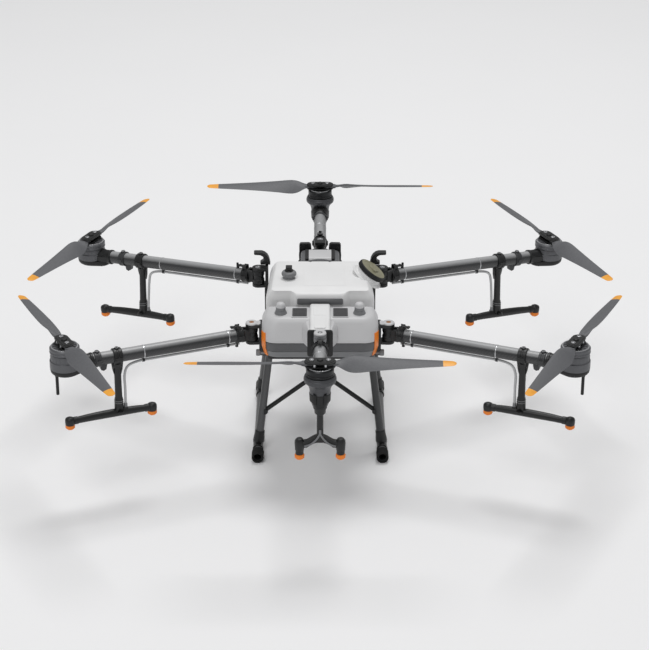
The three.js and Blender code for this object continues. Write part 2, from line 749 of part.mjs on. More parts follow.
// ---------------------------------------------------------------- assembly
const drone = new THREE.Group();
addMesh(drone, "airframe", airframeGeometry(), blackPlastic);
addMesh(drone, "hood", hoodGeometry(), shellGrey);
addMesh(drone, "tank", tankGeometry(), tankWhite);
addMesh(drone, "tank_cap", capGeometry(), capOlive);
addMesh(drone, "battery", batteryGeometry(), shellGrey);
addMesh(drone, "pump", pumpGeometry(), blackPlastic);
for (const [side, s] of [["left", -1], ["right", 1]]) {
  addMesh(drone, "landing_gear_" + side, gearGeometry(s), rubber);
  addMesh(drone, "brace_" + side, braceGeometry(s), blackPlastic);
  addMesh(drone, "storage_hook_" + side, hookGeometry(s), blackPlastic);
}
for (const row of ARMS) drone.add(buildArm(row));

export default drone;
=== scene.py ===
"""Looks of an agricultural spray drone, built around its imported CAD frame.

Lengths are in millimetres until a mesh is made.
"""

import json
import math

import bmesh
import bpy
from mathutils import Matrix, Vector


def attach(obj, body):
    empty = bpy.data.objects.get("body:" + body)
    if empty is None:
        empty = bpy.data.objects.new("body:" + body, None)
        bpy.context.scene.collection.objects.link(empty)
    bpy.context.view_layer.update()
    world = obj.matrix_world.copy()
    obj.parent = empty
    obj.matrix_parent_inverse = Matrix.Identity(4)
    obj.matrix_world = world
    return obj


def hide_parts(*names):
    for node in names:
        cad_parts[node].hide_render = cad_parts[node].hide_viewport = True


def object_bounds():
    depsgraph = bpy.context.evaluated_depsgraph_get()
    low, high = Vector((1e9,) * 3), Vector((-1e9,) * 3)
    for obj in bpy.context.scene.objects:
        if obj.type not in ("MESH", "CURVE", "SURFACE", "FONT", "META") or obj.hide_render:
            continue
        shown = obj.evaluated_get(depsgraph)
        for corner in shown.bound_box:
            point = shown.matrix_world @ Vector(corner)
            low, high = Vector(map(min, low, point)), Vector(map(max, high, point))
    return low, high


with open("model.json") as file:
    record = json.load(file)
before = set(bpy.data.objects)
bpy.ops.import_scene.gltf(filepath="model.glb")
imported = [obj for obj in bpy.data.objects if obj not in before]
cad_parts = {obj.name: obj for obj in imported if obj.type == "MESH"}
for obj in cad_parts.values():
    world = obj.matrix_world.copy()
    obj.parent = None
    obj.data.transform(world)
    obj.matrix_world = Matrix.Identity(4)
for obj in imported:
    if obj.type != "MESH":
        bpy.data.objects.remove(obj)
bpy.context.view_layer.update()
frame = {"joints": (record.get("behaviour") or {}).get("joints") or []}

MM = 0.001
TAU = 2 * math.pi

# ---------------------------------------------------------------- camera, light and floor
CAMERA_DISTANCE = 8286
CAMERA_ELEVATION = math.radians(25.05)
CAMERA_TARGET_Z = 519.5
CAMERA_LENS = 116.2
CAMERA_SHIFT_X = 0.0068
SENSOR_WIDTH = 36

FLOOR_HALF = 30000
WORLD_COLOR = (0.92, 0.92, 0.925, 1)
WORLD_STRENGTH = 0.44
LIGHTS = {  # place and target in metres, size, watts
    "key": ((-3.0, -7.0, 12.0), (0, -0.5, 0.5), 6.0, 430),
    "top": ((1.0, 4.0, 12.5), (0, 0, 0.5), 5.0, 640),
}


def add_camera():
    data = bpy.data.cameras.new("camera")
    data.lens = CAMERA_LENS
    data.sensor_width = SENSOR_WIDTH
    data.shift_x = CAMERA_SHIFT_X
    data.clip_end = 100
    camera = bpy.data.objects.new("camera", data)
    bpy.context.scene.collection.objects.link(camera)
    back = CAMERA_DISTANCE * math.cos(CAMERA_ELEVATION)
    up = CAMERA_DISTANCE * math.sin(CAMERA_ELEVATION)
    camera.location = Vector((0, -back, CAMERA_TARGET_Z + up)) * MM
    camera.rotation_euler = (math.pi / 2 - CAMERA_ELEVATION, 0, 0)
    bpy.context.scene.camera = camera


def add_area_light(name, place, target, size, energy):
    data = bpy.data.lights.new(name, "AREA")
    data.shape = "DISK"
    data.size = size
    data.energy = energy
    lamp = bpy.data.objects.new(name, data)
    bpy.context.scene.collection.objects.link(lamp)
    lamp.location = place
    lamp.rotation_euler = (Vector(target) - Vector(place)).to_track_quat("-Z", "Y").to_euler()


def add_world():
    world = bpy.data.worlds.new("studio")
    world.use_nodes = True
    background = world.node_tree.nodes["Background"].inputs
    background["Color"].default_value = WORLD_COLOR
    background["Strength"].default_value = WORLD_STRENGTH
    bpy.context.scene.world = world
    bpy.context.scene.view_settings.view_transform = "Standard"


# ---------------------------------------------------------------- materials
def srgb(r, g, b):
    """An sRGB colour, 0 to 255, as the linear colour that a shader takes."""
    return tuple(((c / 255 + 0.055) / 1.055) ** 2.4 if c > 10 else c / 3300 for c in (r, g, b)) + (1,)


class Shader:
    """A material's node tree, with short calls for the nodes that these materials use."""

    def __init__(self, name):
        self.material = bpy.data.materials.new(name)
        self.material.use_nodes = True
        self.tree = self.material.node_tree
        self.bsdf = self.tree.nodes["Principled BSDF"]
        self.place = self.node("ShaderNodeTexCoord", {}).outputs["Object"]

    def node(self, kind, inputs, **settings):
        made = self.tree.nodes.new(kind)
        for key, value in settings.items():
            setattr(made, key, value)
        return self.fed(made, inputs)

    def fed(self, node, inputs):
        """Gives a node's inputs, by name or number, a value or a link."""
        for key, value in inputs.items():
            if isinstance(value, bpy.types.NodeSocket):
                self.tree.links.new(value, node.inputs[key])
            else:
                node.inputs[key].default_value = value
        return node

    def math(self, operation, a, b=0.0):
        return self.node("ShaderNodeMath", {0: a, 1: b}, operation=operation).outputs[0]

    def noise(self, scale, detail=2.0, roughness=0.5, stretch=None):
        made = self.node("ShaderNodeTexNoise", {"Scale": scale, "Detail": detail, "Roughness": roughness})
        place = self.place
        if stretch:
            place = self.node("ShaderNodeMapping", {"Vector": place, "Scale": stretch}).outputs[0]
        return self.fed(made, {"Vector": place}).outputs["Fac"]

    def axes(self):
        return tuple(self.node("ShaderNodeSeparateXYZ", {0: self.place}).outputs)

    def stripes(self, along, pitch):
        """A ridge in every pitch, from 0 at its middle to 0.5 at both sides."""
        return self.math(
            "ABSOLUTE", self.math("SUBTRACT", self.math("FRACT", self.math("DIVIDE", along, pitch)), 0.5)
        )

    def ramp(self, value, low, high, from_low=0.0, from_high=1.0):
        limits = {"From Min": from_low, "From Max": from_high, "To Min": low, "To Max": high}
        return self.node("ShaderNodeMapRange", {"Value": value, **limits}).outputs[0]

    def mix(self, factor, a, b):
        return self.node("ShaderNodeMix", {"Factor": factor, 6: a, 7: b}, data_type="RGBA").outputs[2]

    def bump(self, height, distance, strength=1.0):
        made = self.node("ShaderNodeBump", {"Strength": strength, "Distance": distance, "Height": height})
        self.fed(self.bsdf, {"Normal": made.outputs["Normal"]})

    def finish(self, color, roughness, metallic=0.0, coat=0.0, specular=0.5):
        self.fed(self.bsdf, {
            "Base Color": color, "Roughness": roughness, "Metallic": metallic, "Coat Weight": coat,
            "Coat Roughness": 0.32, "Specular IOR Level": specular,
        })
        return self.material


def moulded(name, color, roughness, vary, grain=900, depth=0.00012):
    """Moulded plastic: a fine grain in the surface, and a slow drift of tone and gloss."""
    s = Shader(name)
    dark = tuple(c * (1 - vary) for c in color[:3]) + (1,)
    light = tuple(min(1, c * (1 + vary)) for c in color[:3]) + (1,)
    drift = s.noise(7, 3)
    grain_noise = s.noise(grain, 2)
    tone = s.mix(s.ramp(drift, 0, 1, 0.3, 0.7), dark, light)
    gloss = s.math(
        "ADD", s.ramp(drift, roughness - 0.05, roughness + 0.05, 0.3, 0.7), s.ramp(grain_noise, -0.04, 0.04)
    )
    s.bump(grain_noise, depth)
    return s.finish(tone, gloss)


def carbon(name, radius, dust_and_sheen):
    """Twill of carbon fibre wound on a tube along x, under satin resin, with a painted sheen that lightens
    the upper side.
    """
    s = Shader(name)
    x, y, z = s.axes()
    tow = 0.0032
    weave, over_weave = 4.0, 1.9  # tows in a repeat of the twill, and those that lie on top
    around = s.math("MULTIPLY", s.math("ARCTAN2", z, y), radius * MM / tow)
    along = s.math("DIVIDE", x, tow)
    step = s.math("ADD", s.math("FLOOR", along), s.math("FLOOR", around))
    twill = s.math("LESS_THAN", s.math("MODULO", s.math("ADD", step, 1000 * weave), weave), over_weave)
    across = s.math("ABSOLUTE", s.math("SUBTRACT", s.math("FRACT", along), 0.5))
    over = s.math("ABSOLUTE", s.math("SUBTRACT", s.math("FRACT", around), 0.5))
    crown = s.mix(twill, srgb(255, 255, 255), srgb(0, 0, 0))
    height = s.math("SUBTRACT", 0.5, s.math("MINIMUM", across, over))
    threads = s.noise(60, 3, 0.6, (1.0, 14.0, 14.0))
    tone = s.mix(twill, srgb(30, 31, 32), srgb(42, 43, 45))
    tone = s.mix(s.ramp(threads, 0, 0.35, 0.35, 0.75), tone, srgb(56, 57, 59))
    # painted sheen: the upper side of the tube is mixed towards a pale grey that stands in for the light from
    # above
    painted_top_sheen = s.ramp(
        s.math("ADD", z, s.ramp(threads, -0.12 * radius * MM, 0.12 * radius * MM)), 0, dust_and_sheen,
        0.45 * radius * MM, 0.98 * radius * MM
    )
    tone = s.mix(painted_top_sheen, tone, srgb(176, 177, 178))
    gloss = s.math("ADD", s.ramp(threads, 0.38, 0.5), s.math("MULTIPLY", crown, 0.05))
    s.bump(height, 0.0002, 0.5)
    return s.finish(tone, gloss, coat=0.5)


def turned_metal(name, color, roughness, metallic):
    """Anodised metal with the fine rings that turning leaves."""
    s = Shader(name)
    rings = s.noise(18, 2, 0.5, (1.0, 1.0, 60.0))
    fine = s.noise(700, 2)
    dark = tuple(c * 0.86 for c in color[:3]) + (1,)
    tone = s.mix(s.ramp(rings, 0, 1, 0.3, 0.7), dark, color)
    gloss = s.math("ADD", s.ramp(rings, roughness - 0.06, roughness + 0.06), s.ramp(fine, -0.03, 0.03))
    s.bump(s.math("ADD", rings, s.math("MULTIPLY", fine, 0.4)), 0.00012)
    return s.finish(tone, gloss, metallic=metallic)


def blade_composite(name, tip_start):
    """Moulded blade: speckled grey composite with fibres along the blade and a painted tip."""
    s = Shader(name)
    y = s.axes()[1]
    speckle = s.noise(900, 2, 0.7)
    fibres = s.noise(90, 3, 0.6, (8.0, 1.0, 8.0))
    grey = s.mix(s.ramp(fibres, 0, 1, 0.3, 0.7), srgb(84, 85, 88), srgb(100, 101, 104))
    grey = s.mix(s.ramp(speckle, 0, 0.6, 0.55, 0.8), grey, srgb(136, 137, 139))
    worn = s.math("ADD", y, s.ramp(s.noise(160, 3), -0.0012, 0.0012))
    tip = s.math("GREATER_THAN", worn, tip_start * MM)
    paint = s.mix(s.ramp(s.noise(40, 3), 0, 1, 0.3, 0.7), srgb(236, 158, 44), srgb(248, 178, 62))
    tone = s.mix(tip, grey, paint)
    gloss = s.math("ADD", s.ramp(speckle, 0.44, 0.62), s.math("MULTIPLY", tip, -0.12))
    s.bump(s.math("ADD", speckle, s.math("MULTIPLY", fibres, 0.5)), 0.00015)
    return s.finish(tone, gloss)


def ribbed_rubber(name):
    s = Shader(name)
    ribs = s.stripes(s.axes()[1], 0.004)
    dust_and_sheen = s.noise(24, 4, 0.6)
    tone = s.mix(s.ramp(dust_and_sheen, 0, 0.5, 0.45, 0.75), srgb(24, 24, 25), srgb(52, 51, 50))
    s.bump(s.math("ADD", s.math("MULTIPLY", ribs, 0.8), s.noise(500)), 0.0003)
    return s.finish(tone, s.ramp(dust_and_sheen, 0.7, 0.9), specular=0.3)


def vent_mesh(name):
    """Dark louvred grille: fine slats across, with dust between them."""
    s = Shader(name)
    slat = s.stripes(s.axes()[1], 0.0045)
    dust_and_sheen = s.noise(90, 3)
    tone = s.mix(s.ramp(slat, 0, 1, 0.1, 0.4), srgb(38, 38, 40), srgb(92, 92, 94))
    s.bump(slat, 0.0008)
    return s.finish(tone, s.ramp(dust_and_sheen, 0.5, 0.75))


def floor_paint(name):
    s = Shader(name)
    speck = s.noise(1.5, 3)
    tone = s.mix(speck, (0.915, 0.915, 0.92, 1), (0.93, 0.93, 0.935, 1))
    s.bump(s.noise(60), 0.0002)
    return s.finish(tone, 0.9, specular=0.1)


TUBE_R = 25
BORE_R = TUBE_R + 0.2  # bore of a clamp or socket on a tube
SKID_TUBE_R = 17
SKID_BORE_R = SKID_TUBE_R + 0.2
TIP_START = 434  # where the blade's painted tip begins

SHELL = moulded("shell_grey", srgb(198, 198, 199), 0.42, vary=0.03)
TANK = moulded("tank_white", srgb(232, 232, 232), 0.38, vary=0.02, grain=600)
SHADE = moulded("shell_dark", srgb(86, 87, 89), 0.5, vary=0.06)
BLACK = moulded("moulded_black", srgb(19, 20, 21), 0.42, vary=0.18)
GRAPHITE = moulded("moulded_graphite", srgb(52, 53, 55), 0.4, vary=0.12)
MATT_BLACK = moulded("matt_black", srgb(13, 14, 15), 0.55, vary=0.18)
GREY_MOULD = moulded("moulded_grey", srgb(122, 123, 125), 0.45, vary=0.07)
ORANGE = moulded("nozzle_orange", srgb(240, 132, 36), 0.42, vary=0.07, grain=500)
HOSE = moulded("hose_grey", srgb(186, 187, 188), 0.36, vary=0.05, grain=300)
AMBER = moulded("hinge_amber", srgb(158, 108, 66), 0.5, vary=0.1)
OLIVE = moulded("cap_olive", srgb(138, 135, 112), 0.55, vary=0.14, grain=400, depth=0.0003)
CASE = moulded("battery_case", srgb(96, 97, 99), 0.5, vary=0.05)
MOTOR = turned_metal("motor_metal", srgb(100, 101, 104), 0.4, 0.4)
POD_METAL = turned_metal("pod_metal", srgb(78, 79, 82), 0.4, 0.4)
SILVER = turned_metal("turned_silver", srgb(205, 206, 208), 0.28, 0.9)
DARK_METAL = turned_metal("anodised_black", srgb(34, 35, 37), 0.36, 0.5)
# the last number sets how strong the painted sheen on the tube's upper side is
CARBON = carbon("carbon_tube", TUBE_R, 0.8)
SKID_CARBON = carbon("skid_carbon", SKID_TUBE_R, 0.15)
BLADE = blade_composite("blade_composite", TIP_START)
RUBBER = ribbed_rubber("foot_rubber")
VENT = vent_mesh("vent_mesh")


# ---------------------------------------------------------------- mesh building
CREASE = math.radians(38)  # edges sharper than this are rounded, and the rest are shaded smooth
ALONG_X = Matrix.Rotation(math.pi / 2, 4, "Y")  # turns a body about z to lie along x
ALONG_Y = Matrix.Rotation(-math.pi / 2, 4, "X")


def shift(x, y, z):
    return Matrix.Translation((x, y, z))


def facing(direction):
    """A turn that points z along a direction."""
    return direction.to_track_quat("Z", "Y").to_matrix().to_4x4()


class Piece:
    """A mesh under construction, in millimetres, in a frame of its own."""

    def __init__(self):
        self.bm = bmesh.new()

    def skin(self, rings, loop=False):
        """A skin over rings of points; a ring of one point closes to that point."""
        made = [[self.bm.verts.new(p) for p in ring] for ring in rings]
        pairs = list(zip(made, made[1:] + made[:1])) if loop else list(zip(made, made[1:]))
        for a, b in pairs:
            for i in range(max(len(a), len(b))):
                corners = [a[i % len(a)], a[(i + 1) % len(a)], b[(i + 1) % len(b)], b[i % len(b)]]
                self.bm.faces.new(list(dict.fromkeys(corners)))
        if not loop:
            for ring in (made[0], made[-1]):
                if len(ring) > 2:
                    self.bm.faces.new(ring)
        return self

    def moved(self, matrix, since=0):
        for v in list(self.bm.verts)[since:]:
            v.co = matrix @ v.co
        return self

    def turned(self, profile, sides, matrix=None):
        """A body of revolution about z from (radius, z) points, closed on itself where it misses the axis."""
        since = len(self.bm.verts)
        rings = []
        for r, z in profile:
            if r < 1e-6:
                rings.append([(0, 0, z)])
            else:
                turns = [TAU * i / sides for i in range(sides)]
                rings.append([(r * math.cos(a), r * math.sin(a), z) for a in turns])
        self.skin(rings, loop=profile[0][0] > 1e-6 and profile[-1][0] > 1e-6)
        return self.moved(matrix, since) if matrix else self

    def rod(self, a, b, r0, r1, sides, hole=0):
        """A round bar, or a sleeve where hole is its inner radius."""
        a, b = Vector(a), Vector(b)
        length = (b - a).length
        profile = [(hole, 0), (r0, 0), (r1, length), (hole, length)]
        turn = facing(b - a)
        return self.turned(profile, sides, Matrix.Translation(a) @ turn)

    def block(self, corner, opposite):
        (x0, x1), (y0, y1), (z0, z1) = (sorted(pair) for pair in zip(corner, opposite))
        ring = [(x0, y0), (x1, y0), (x1, y1), (x0, y1)]
        return self.skin([[(x, y, z) for x, y in ring] for z in (z0, z1)])

    def blocks_around(self, count, low, high, at=Matrix.Identity(4)):
        """Equal blocks evenly spaced about z."""
        for k in range(count):
            since = len(self.bm.verts)
            self.block(low, high)
            self.moved(at @ Matrix.Rotation(TAU * k / count, 4, "Z"), since)

    def prism(self, outline, low, high, axis="z"):
        """An outline carried along an axis; its points are the other two coordinates, in x, y, z order."""
        order = {
            "x": lambda u, v, t: (t, u, v), "y": lambda u, v, t: (u, t, v), "z": lambda u, v, t: (u, v, t)
        }[axis]
        return self.skin([[order(u, v, t) for u, v in outline] for t in sorted((low, high))])

    def tube(self, path, radius, sides=16):
        """A tube along points; radius is one number, or a function of the fraction along the path."""
        path = [Vector(p) for p in path]
        size = radius if callable(radius) else lambda t: radius
        tangents = [
            (path[min(i + 1, len(path) - 1)] - path[max(i - 1, 0)]).normalized() for i in range(len(path))
        ]
        side = tangents[0].orthogonal().normalized()
        rings = []
        for i, (point, tangent) in enumerate(zip(path, tangents)):
            side = (side - tangent * side.dot(tangent)).normalized()
            other = tangent.cross(side)
            r = size(i / (len(path) - 1))
            angles = [TAU * k / sides for k in range(sides)]
            rings.append([point + (side * math.cos(a) + other * math.sin(a)) * r for a in angles])
        return self.skin(rings)

    def done(self, name, material, body, slot, matrix=None, replaces=(), bevel=1.0):
        """Rounds the edges by bevel, and makes the object that rides on body."""
        bm = self.bm
        bmesh.ops.recalc_face_normals(bm, faces=bm.faces)
        bm.normal_update()
        if bevel:
            sharp = [e for e in bm.edges if len(e.link_faces) == 2 and e.calc_face_angle(0) > CREASE]
            bmesh.ops.bevel(
                bm, geom=sharp, offset=bevel, segments=2, profile=0.5, affect="EDGES", clamp_overlap=True
            )
        bmesh.ops.remove_doubles(bm, verts=bm.verts, dist=0.002)
        bm.normal_update()
        for face in bm.faces:
            face.smooth = True
        for edge in bm.edges:
            edge.smooth = len(edge.link_faces) != 2 or edge.calc_face_angle(0) < CREASE
        bmesh.ops.scale(bm, vec=(MM, MM, MM), verts=bm.verts)
        mesh = bpy.data.meshes.new(name)
        bm.to_mesh(mesh)
        bm.free()
        mesh.materials.append(material)
        made = bpy.data.objects.new(name, mesh)
        bpy.context.scene.collection.objects.link(made)
        if matrix is not None:
            placed = matrix.copy()
            placed.translation = placed.translation * MM
            made.matrix_world = placed
        if bevel:
            weighted = made.modifiers.new("even_shading", "WEIGHTED_NORMAL")
            weighted.keep_sharp = True
        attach(made, body)
        if replaces:
            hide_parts(*replaces)
        return made


def arc(center, radius, start, end, steps):
    """Points of an arc in degrees, both ends included."""
    cx, cy = center
    angles = [math.radians(start + (end - start) * i / steps) for i in range(steps + 1)]
    return [(cx + radius * math.cos(a), cy + radius * math.sin(a)) for a in angles]


def rounded(x0, x1, y0, y1, r, steps=5):
    """A rectangle with rounded corners."""
    x0, x1 = sorted((x0, x1))
    return (
        arc((x1 - r, y0 + r), r, -90, 0, steps)
        + arc((x1 - r, y1 - r), r, 0, 90, steps)
        + arc((x0 + r, y1 - r), r, 90, 180, steps)
        + arc((x0 + r, y0 + r), r, 180, 270, steps)
    )


def stadium(half, r0, r1=None, steps=10):
    """Two round ends at y = -half and y = +half, joined by straight sides."""
    r1 = r0 if r1 is None else r1
    lean = math.degrees(math.asin((r0 - r1) / (2 * half)))
    return arc((0, half), r1, lean, 180 - lean, steps) + arc((0, -half), r0, 180 - lean, 360 + lean, steps)


def curve_through(points, steps):
    """A Catmull-Rom curve through the points."""
    pts = [Vector(p) for p in points]
    pts = [2 * pts[0] - pts[1]] + pts + [2 * pts[-1] - pts[-2]]
    out = []
    for a, b, c, d in zip(pts, pts[1:], pts[2:], pts[3:]):
        for k in range(steps):
            t = k / steps
            out.append(
                0.5 * (
                    2 * b + (c - a) * t + (2 * a - 5 * b + 4 * c - d) * t * t + (3 * b - a - 3 * c + d) * t**3
                )
            )
    out.append(pts[-2])
    return out


def mirrored(half, middle=0):
    """A profile of (radius, z) points and its mirror image beyond z = middle."""
    return half + [(r, 2 * middle - z) for r, z in reversed(half)]


def smoothstep(t):
    t = min(1.0, max(0.0, t))
    return t * t * (3 - 2 * t)


def socket_screw(piece, place, radius, height, axis=(0, 0, 1)):
    """A cap screw with a hexagon socket, its head standing on place."""
    turn = facing(Vector(axis))
    profile = [(radius, -1.0), (radius, height * 0.8), (radius * 0.88, height), (radius * 0.55, height),
               (radius * 0.5, height * 0.35), (0, height * 0.3)]
    piece.turned(profile, 12, Matrix.Translation(place) @ turn)


# ---------------------------------------------------------------- arms
JOINTS = {j["name"]: j for j in frame["joints"]}
TIP_BELOW_HUB = {"end": 109, "front": 89.5, "rear": 75}  # the arm's centre line under the blades' plane
NECK = {"end": 78, "front": 105, "rear": 105}  # motor axis to the inner end of its mount
STEM_INSET = {"end": 0, "front": 199, "rear": 245}
COLLAR_INSET = {"front": 122, "rear": 158}
BELL = {"end": (50, 33), "front": (56, 26), "rear": (56, 26)}  # radius and height
COLLAR_R = 30
KNUCKLE_R = 24
KNUCKLE_HALF = 28
SOCKET_START = 36
SOCKET_END = 68
BOLT_OFFSET = 30
PLATE_R = 26
BLADE_ROOT_HALF = 5
PLATE_GAP = 0.4
PLATE_THICK = 5
HOSE_R = 5
HOSE_DROP = 35
BOOM_DROP = 238
BOOM_OUTER = 194
BOOM_INNER = 130
END_NOZZLE_Y = 74
LOCK_X = 56
LOCK_Z = 37
PROP_RADIUS = 482


class Arm:
    """One arm's frames: level and sloped at its hinge, tip on the motor axis, hub at the blades."""

    def __init__(self, name):
        self.name = name
        self.kind = "end" if name in ("front", "rear") else name.split("_")[0]
        self.hinge = Vector(JOINTS["fold_arm_" + name]["pos_m"]) / MM
        hub = Vector(JOINTS["spin_rotor_" + name]["pos_m"]) / MM
        out = hub.xy - self.hinge.xy
        self.reach = out.length
        turn = Matrix.Rotation(math.atan2(out.y, out.x), 4, "Z")
        tip_z = hub.z - TIP_BELOW_HUB[self.kind]
        self.droop = math.atan2(self.hinge.z - tip_z, self.reach)
        self.level = Matrix.Translation(self.hinge) @ turn
        self.sloped = self.level @ Matrix.Rotation(self.droop, 4, "Y")
        self.tip = shift(hub.x, hub.y, tip_z) @ turn
        bolt = Vector(JOINTS["fold_blade_a_" + name]["pos_m"]) / MM - hub
        self.hub = Matrix.Translation(hub) @ Matrix.Rotation(math.atan2(-bolt.x, bolt.y), 4, "Z")
        self.neck = NECK[self.kind]
        self.stem_x = self.reach - STEM_INSET[self.kind]
        self.boom_foot = BOOM_DROP * math.tan(self.droop)  # the stem stands upright under a sloping tube
        over_bell = BLADE_ROOT_HALF + PLATE_THICK + 2 * PLATE_GAP
        self.motor_top = TIP_BELOW_HUB[self.kind] - over_bell - BELL[self.kind][1] - 0.6
        self.spin = 1 if name in ("front", "front_left", "rear_right") else -1

    def add(self, piece, name, material, slot, at, node=None, body="arm", bevel=1.0):
        """Finishes a piece that rides on one of the arm's bodies; node is the CAD node that it stands for."""
        replaces = [f"{node}_{self.name}"] if node else ()
        piece.done(f"{name}_{self.name}", material, f"{body}_{self.name}", slot, at, replaces, bevel)


ARMS = [Arm(j["name"][len("fold_arm_"):]) for j in frame["joints"] if j["name"].startswith("fold_arm_")]


def clamp_collar(piece, x, half=13, radius=COLLAR_R, knob=True):
    """A two-part clamp round the tube: ribbed ring, split ears with a screw each side, and a knob on top."""
    profile = [(BORE_R, -half), (radius - 2, -half), (radius, -half + 2), (radius, -4), (radius - 1.6, -3)]
    piece.turned(mirrored(profile), 48, shift(x, 0, 0) @ ALONG_X)
    for side in (-1, 1):
        piece.block((x - half + 3, side * (radius - 3), -5.5), (x + half - 3, side * (radius + 4), 5.5))
        socket_screw(piece, (x, side * (radius + 0.5), 5.5), 3.4, 2.4)
    if knob:
        piece.turned(
            [(0, radius - 4), (9, radius - 4), (9, radius + 3.6), (8, radius + 4.6), (0, radius + 4.6)], 24,
            shift(x, 0, 0)
        )


def knob_rings(piece, x, radius=COLLAR_R):
    """The light ring round a knob's dark socket."""
    top = radius + 4.4
    piece.turned([(4.6, top), (8.2, top), (7.8, top + 1.2), (5, top + 1.2)], 24, shift(x, 0, 0))


def make_tube(arm):
    end = arm.reach - arm.neck + 22
    wall = 1.5
    tube = Piece()
    profile = [
        (TUBE_R - wall, SOCKET_START + 4), (TUBE_R, SOCKET_START + 4), (TUBE_R, end), (TUBE_R - wall, end)
    ]
    tube.turned(profile, 72, ALONG_X)
    arm.add(tube, "tube", CARBON, "carbon_tube", arm.sloped, "arm", bevel=0.4)


def make_root(arm):
    """Hinge knuckle and the clamp that joins it to the tube."""
    knuckle = Piece()
    half = KNUCKLE_HALF - 0.6
    ring = [
        (9, -half), (KNUCKLE_R - 2, -half), (KNUCKLE_R, -half + 2), (KNUCKLE_R, -9), (KNUCKLE_R - 2.5, -6)
    ]
    knuckle.turned(mirrored(ring), 48)
    for side in (-1, 1):
        cheek = [(14, -22), (34, -24), (44, -24), (44, 24), (34, 24), (14, 22)]
        knuckle.prism(cheek, side * 8, side * 19, "y")
    knuckle.block((12, -9, -15), (44, 9, 15))
    arm.add(
        knuckle, "knuckle", GREY_MOULD if arm.name == "front" else BLACK, "moulded_frame", arm.level,
        bevel=1.2
    )
    socket = Piece()
    profile = [
        (BORE_R, SOCKET_START), (COLLAR_R - 3, SOCKET_START), (COLLAR_R, SOCKET_START + 3),
        (COLLAR_R, SOCKET_START + 8), (COLLAR_R - 1.5, SOCKET_START + 9.5),
        (COLLAR_R - 1.5, SOCKET_END - 9.5), (COLLAR_R, SOCKET_END - 8), (COLLAR_R, SOCKET_END - 3),
        (COLLAR_R - 2.5, SOCKET_END), (BORE_R, SOCKET_END)
    ]
    socket.turned(profile, 64, ALONG_X)
    for side in (-1, 1):
        for x in (SOCKET_START + 7, SOCKET_END - 7):
            socket_screw(socket, (x, side * 15, 25.5), 3.4, 2.6, (0, side * 0.5, 0.87))
        socket.block(
            (SOCKET_START + 4, side * (COLLAR_R - 3), -6), (SOCKET_END - 4, side * (COLLAR_R + 3), 6)
        )
    for side in (-1, 1):
        socket.block((LOCK_X - 9, side * 12, COLLAR_R - 6), (LOCK_X + 9, side * 9.5, LOCK_Z + 5))
    if arm.kind == "front":
        socket.tube([(62, 0, -TUBE_R + 2), (62, 0, -TUBE_R - 12), (62, 0, -TUBE_R - 22)], 6)
    if arm.kind == "rear":
        socket.tube([(92, 0, TUBE_R - 2), (92, 0, TUBE_R + 12), (92, 0, TUBE_R + 22)], lambda t: 6 - 1.5 * t)
    arm.add(socket, "tube_socket", BLACK, "moulded_frame", arm.sloped)


def make_collars(arm):
    """Outer clamps on the tube, the thin rings round it, and the hose clips under those rings."""
    collars = Piece()
    rings = Piece()
    if arm.kind == "end":
        clips = (120, 210)
        clamp_collar(collars, arm.reach - arm.neck - 20, 9, COLLAR_R - 1, knob=False)
    else:
        collar_x = arm.reach - COLLAR_INSET[arm.kind]
        clips = (98, arm.stem_x - 103)
        clamp_collar(collars, collar_x)
        knob_rings(rings, collar_x)
        knob_rings(rings, arm.stem_x, COLLAR_R + 1)
        guide = [(collar_x - 36, -TUBE_R + 2), (collar_x - 8, -TUBE_R + 2), (collar_x - 12, -HOSE_DROP - 9),
                 (collar_x - 22, -HOSE_DROP - 13), (collar_x - 32, -HOSE_DROP - 8)]
        collars.prism(guide, -10, 10, "y")
    for x in clips:
        rings.turned(
            [(TUBE_R + 0.1, x - 2), (TUBE_R + 0.8, x - 1.4), (TUBE_R + 0.8, x + 1.4), (TUBE_R + 0.1, x + 2)],
            48, ALONG_X
        )
        collars.turned(
            [(HOSE_R + 0.2, -4.5), (HOSE_R + 2.4, -4.5), (HOSE_R + 2.4, 4.5), (HOSE_R + 0.2, 4.5)], 24,
            shift(x, 0, -HOSE_DROP) @ ALONG_X
        )
        collars.block((x - 5, -4, -HOSE_DROP + HOSE_R + 1), (x + 5, 4, -TUBE_R + 0.8))
    arm.add(collars, "collars", GRAPHITE, "moulded_frame", arm.sloped, bevel=0.8)
    arm.add(rings, "tube_rings", SILVER, "hub_alloy", arm.sloped, bevel=0)


def hose_route(arm):
    x = arm.stem_x
    if arm.kind == "end":
        points = [(52, 0), (130, 0), (x - 130, 0), (x - 84, 8), (x - 52, 46), (x - 28, 84), (x - 19, 118)]
    else:
        foot = arm.boom_foot
        points = [(52, 0), (160, 0), (x - 150, 0), (x - 85, 1), (x - 42, 14), (x - 27, 50),
                  (x - 27 + foot / 2, 110), (x - 26 + foot, BOOM_DROP - 18 - HOSE_DROP)]
    return [(out, 0, -HOSE_DROP - drop) for out, drop in points]


def make_hose(arm):
    """The spray hose, clipped along the tube and then down towards the spray bar."""
    path = curve_through(hose_route(arm), 8)
    hose = Piece()
    hose.tube(path, HOSE_R, 20)
    arm.add(hose, "hose_line", HOSE, "hose_grey", arm.sloped, "hose", bevel=0)


def nozzle_cap(caps, x, y, z):
    """A nozzle's ribbed cap, its top at z."""
    profile = [
        (0, -21), (8, -21), (12, -19.5), (13.5, -16.5), (16.5, -15.5), (17.8, -13.5), (17.8, -4), (16, 0),
        (0, 0)
    ]
    at = shift(x, y, z)
    caps.turned(profile, 36, at)
    caps.blocks_around(10, (16.8, -1.6, -13), (18.4, 1.6, -4), at)


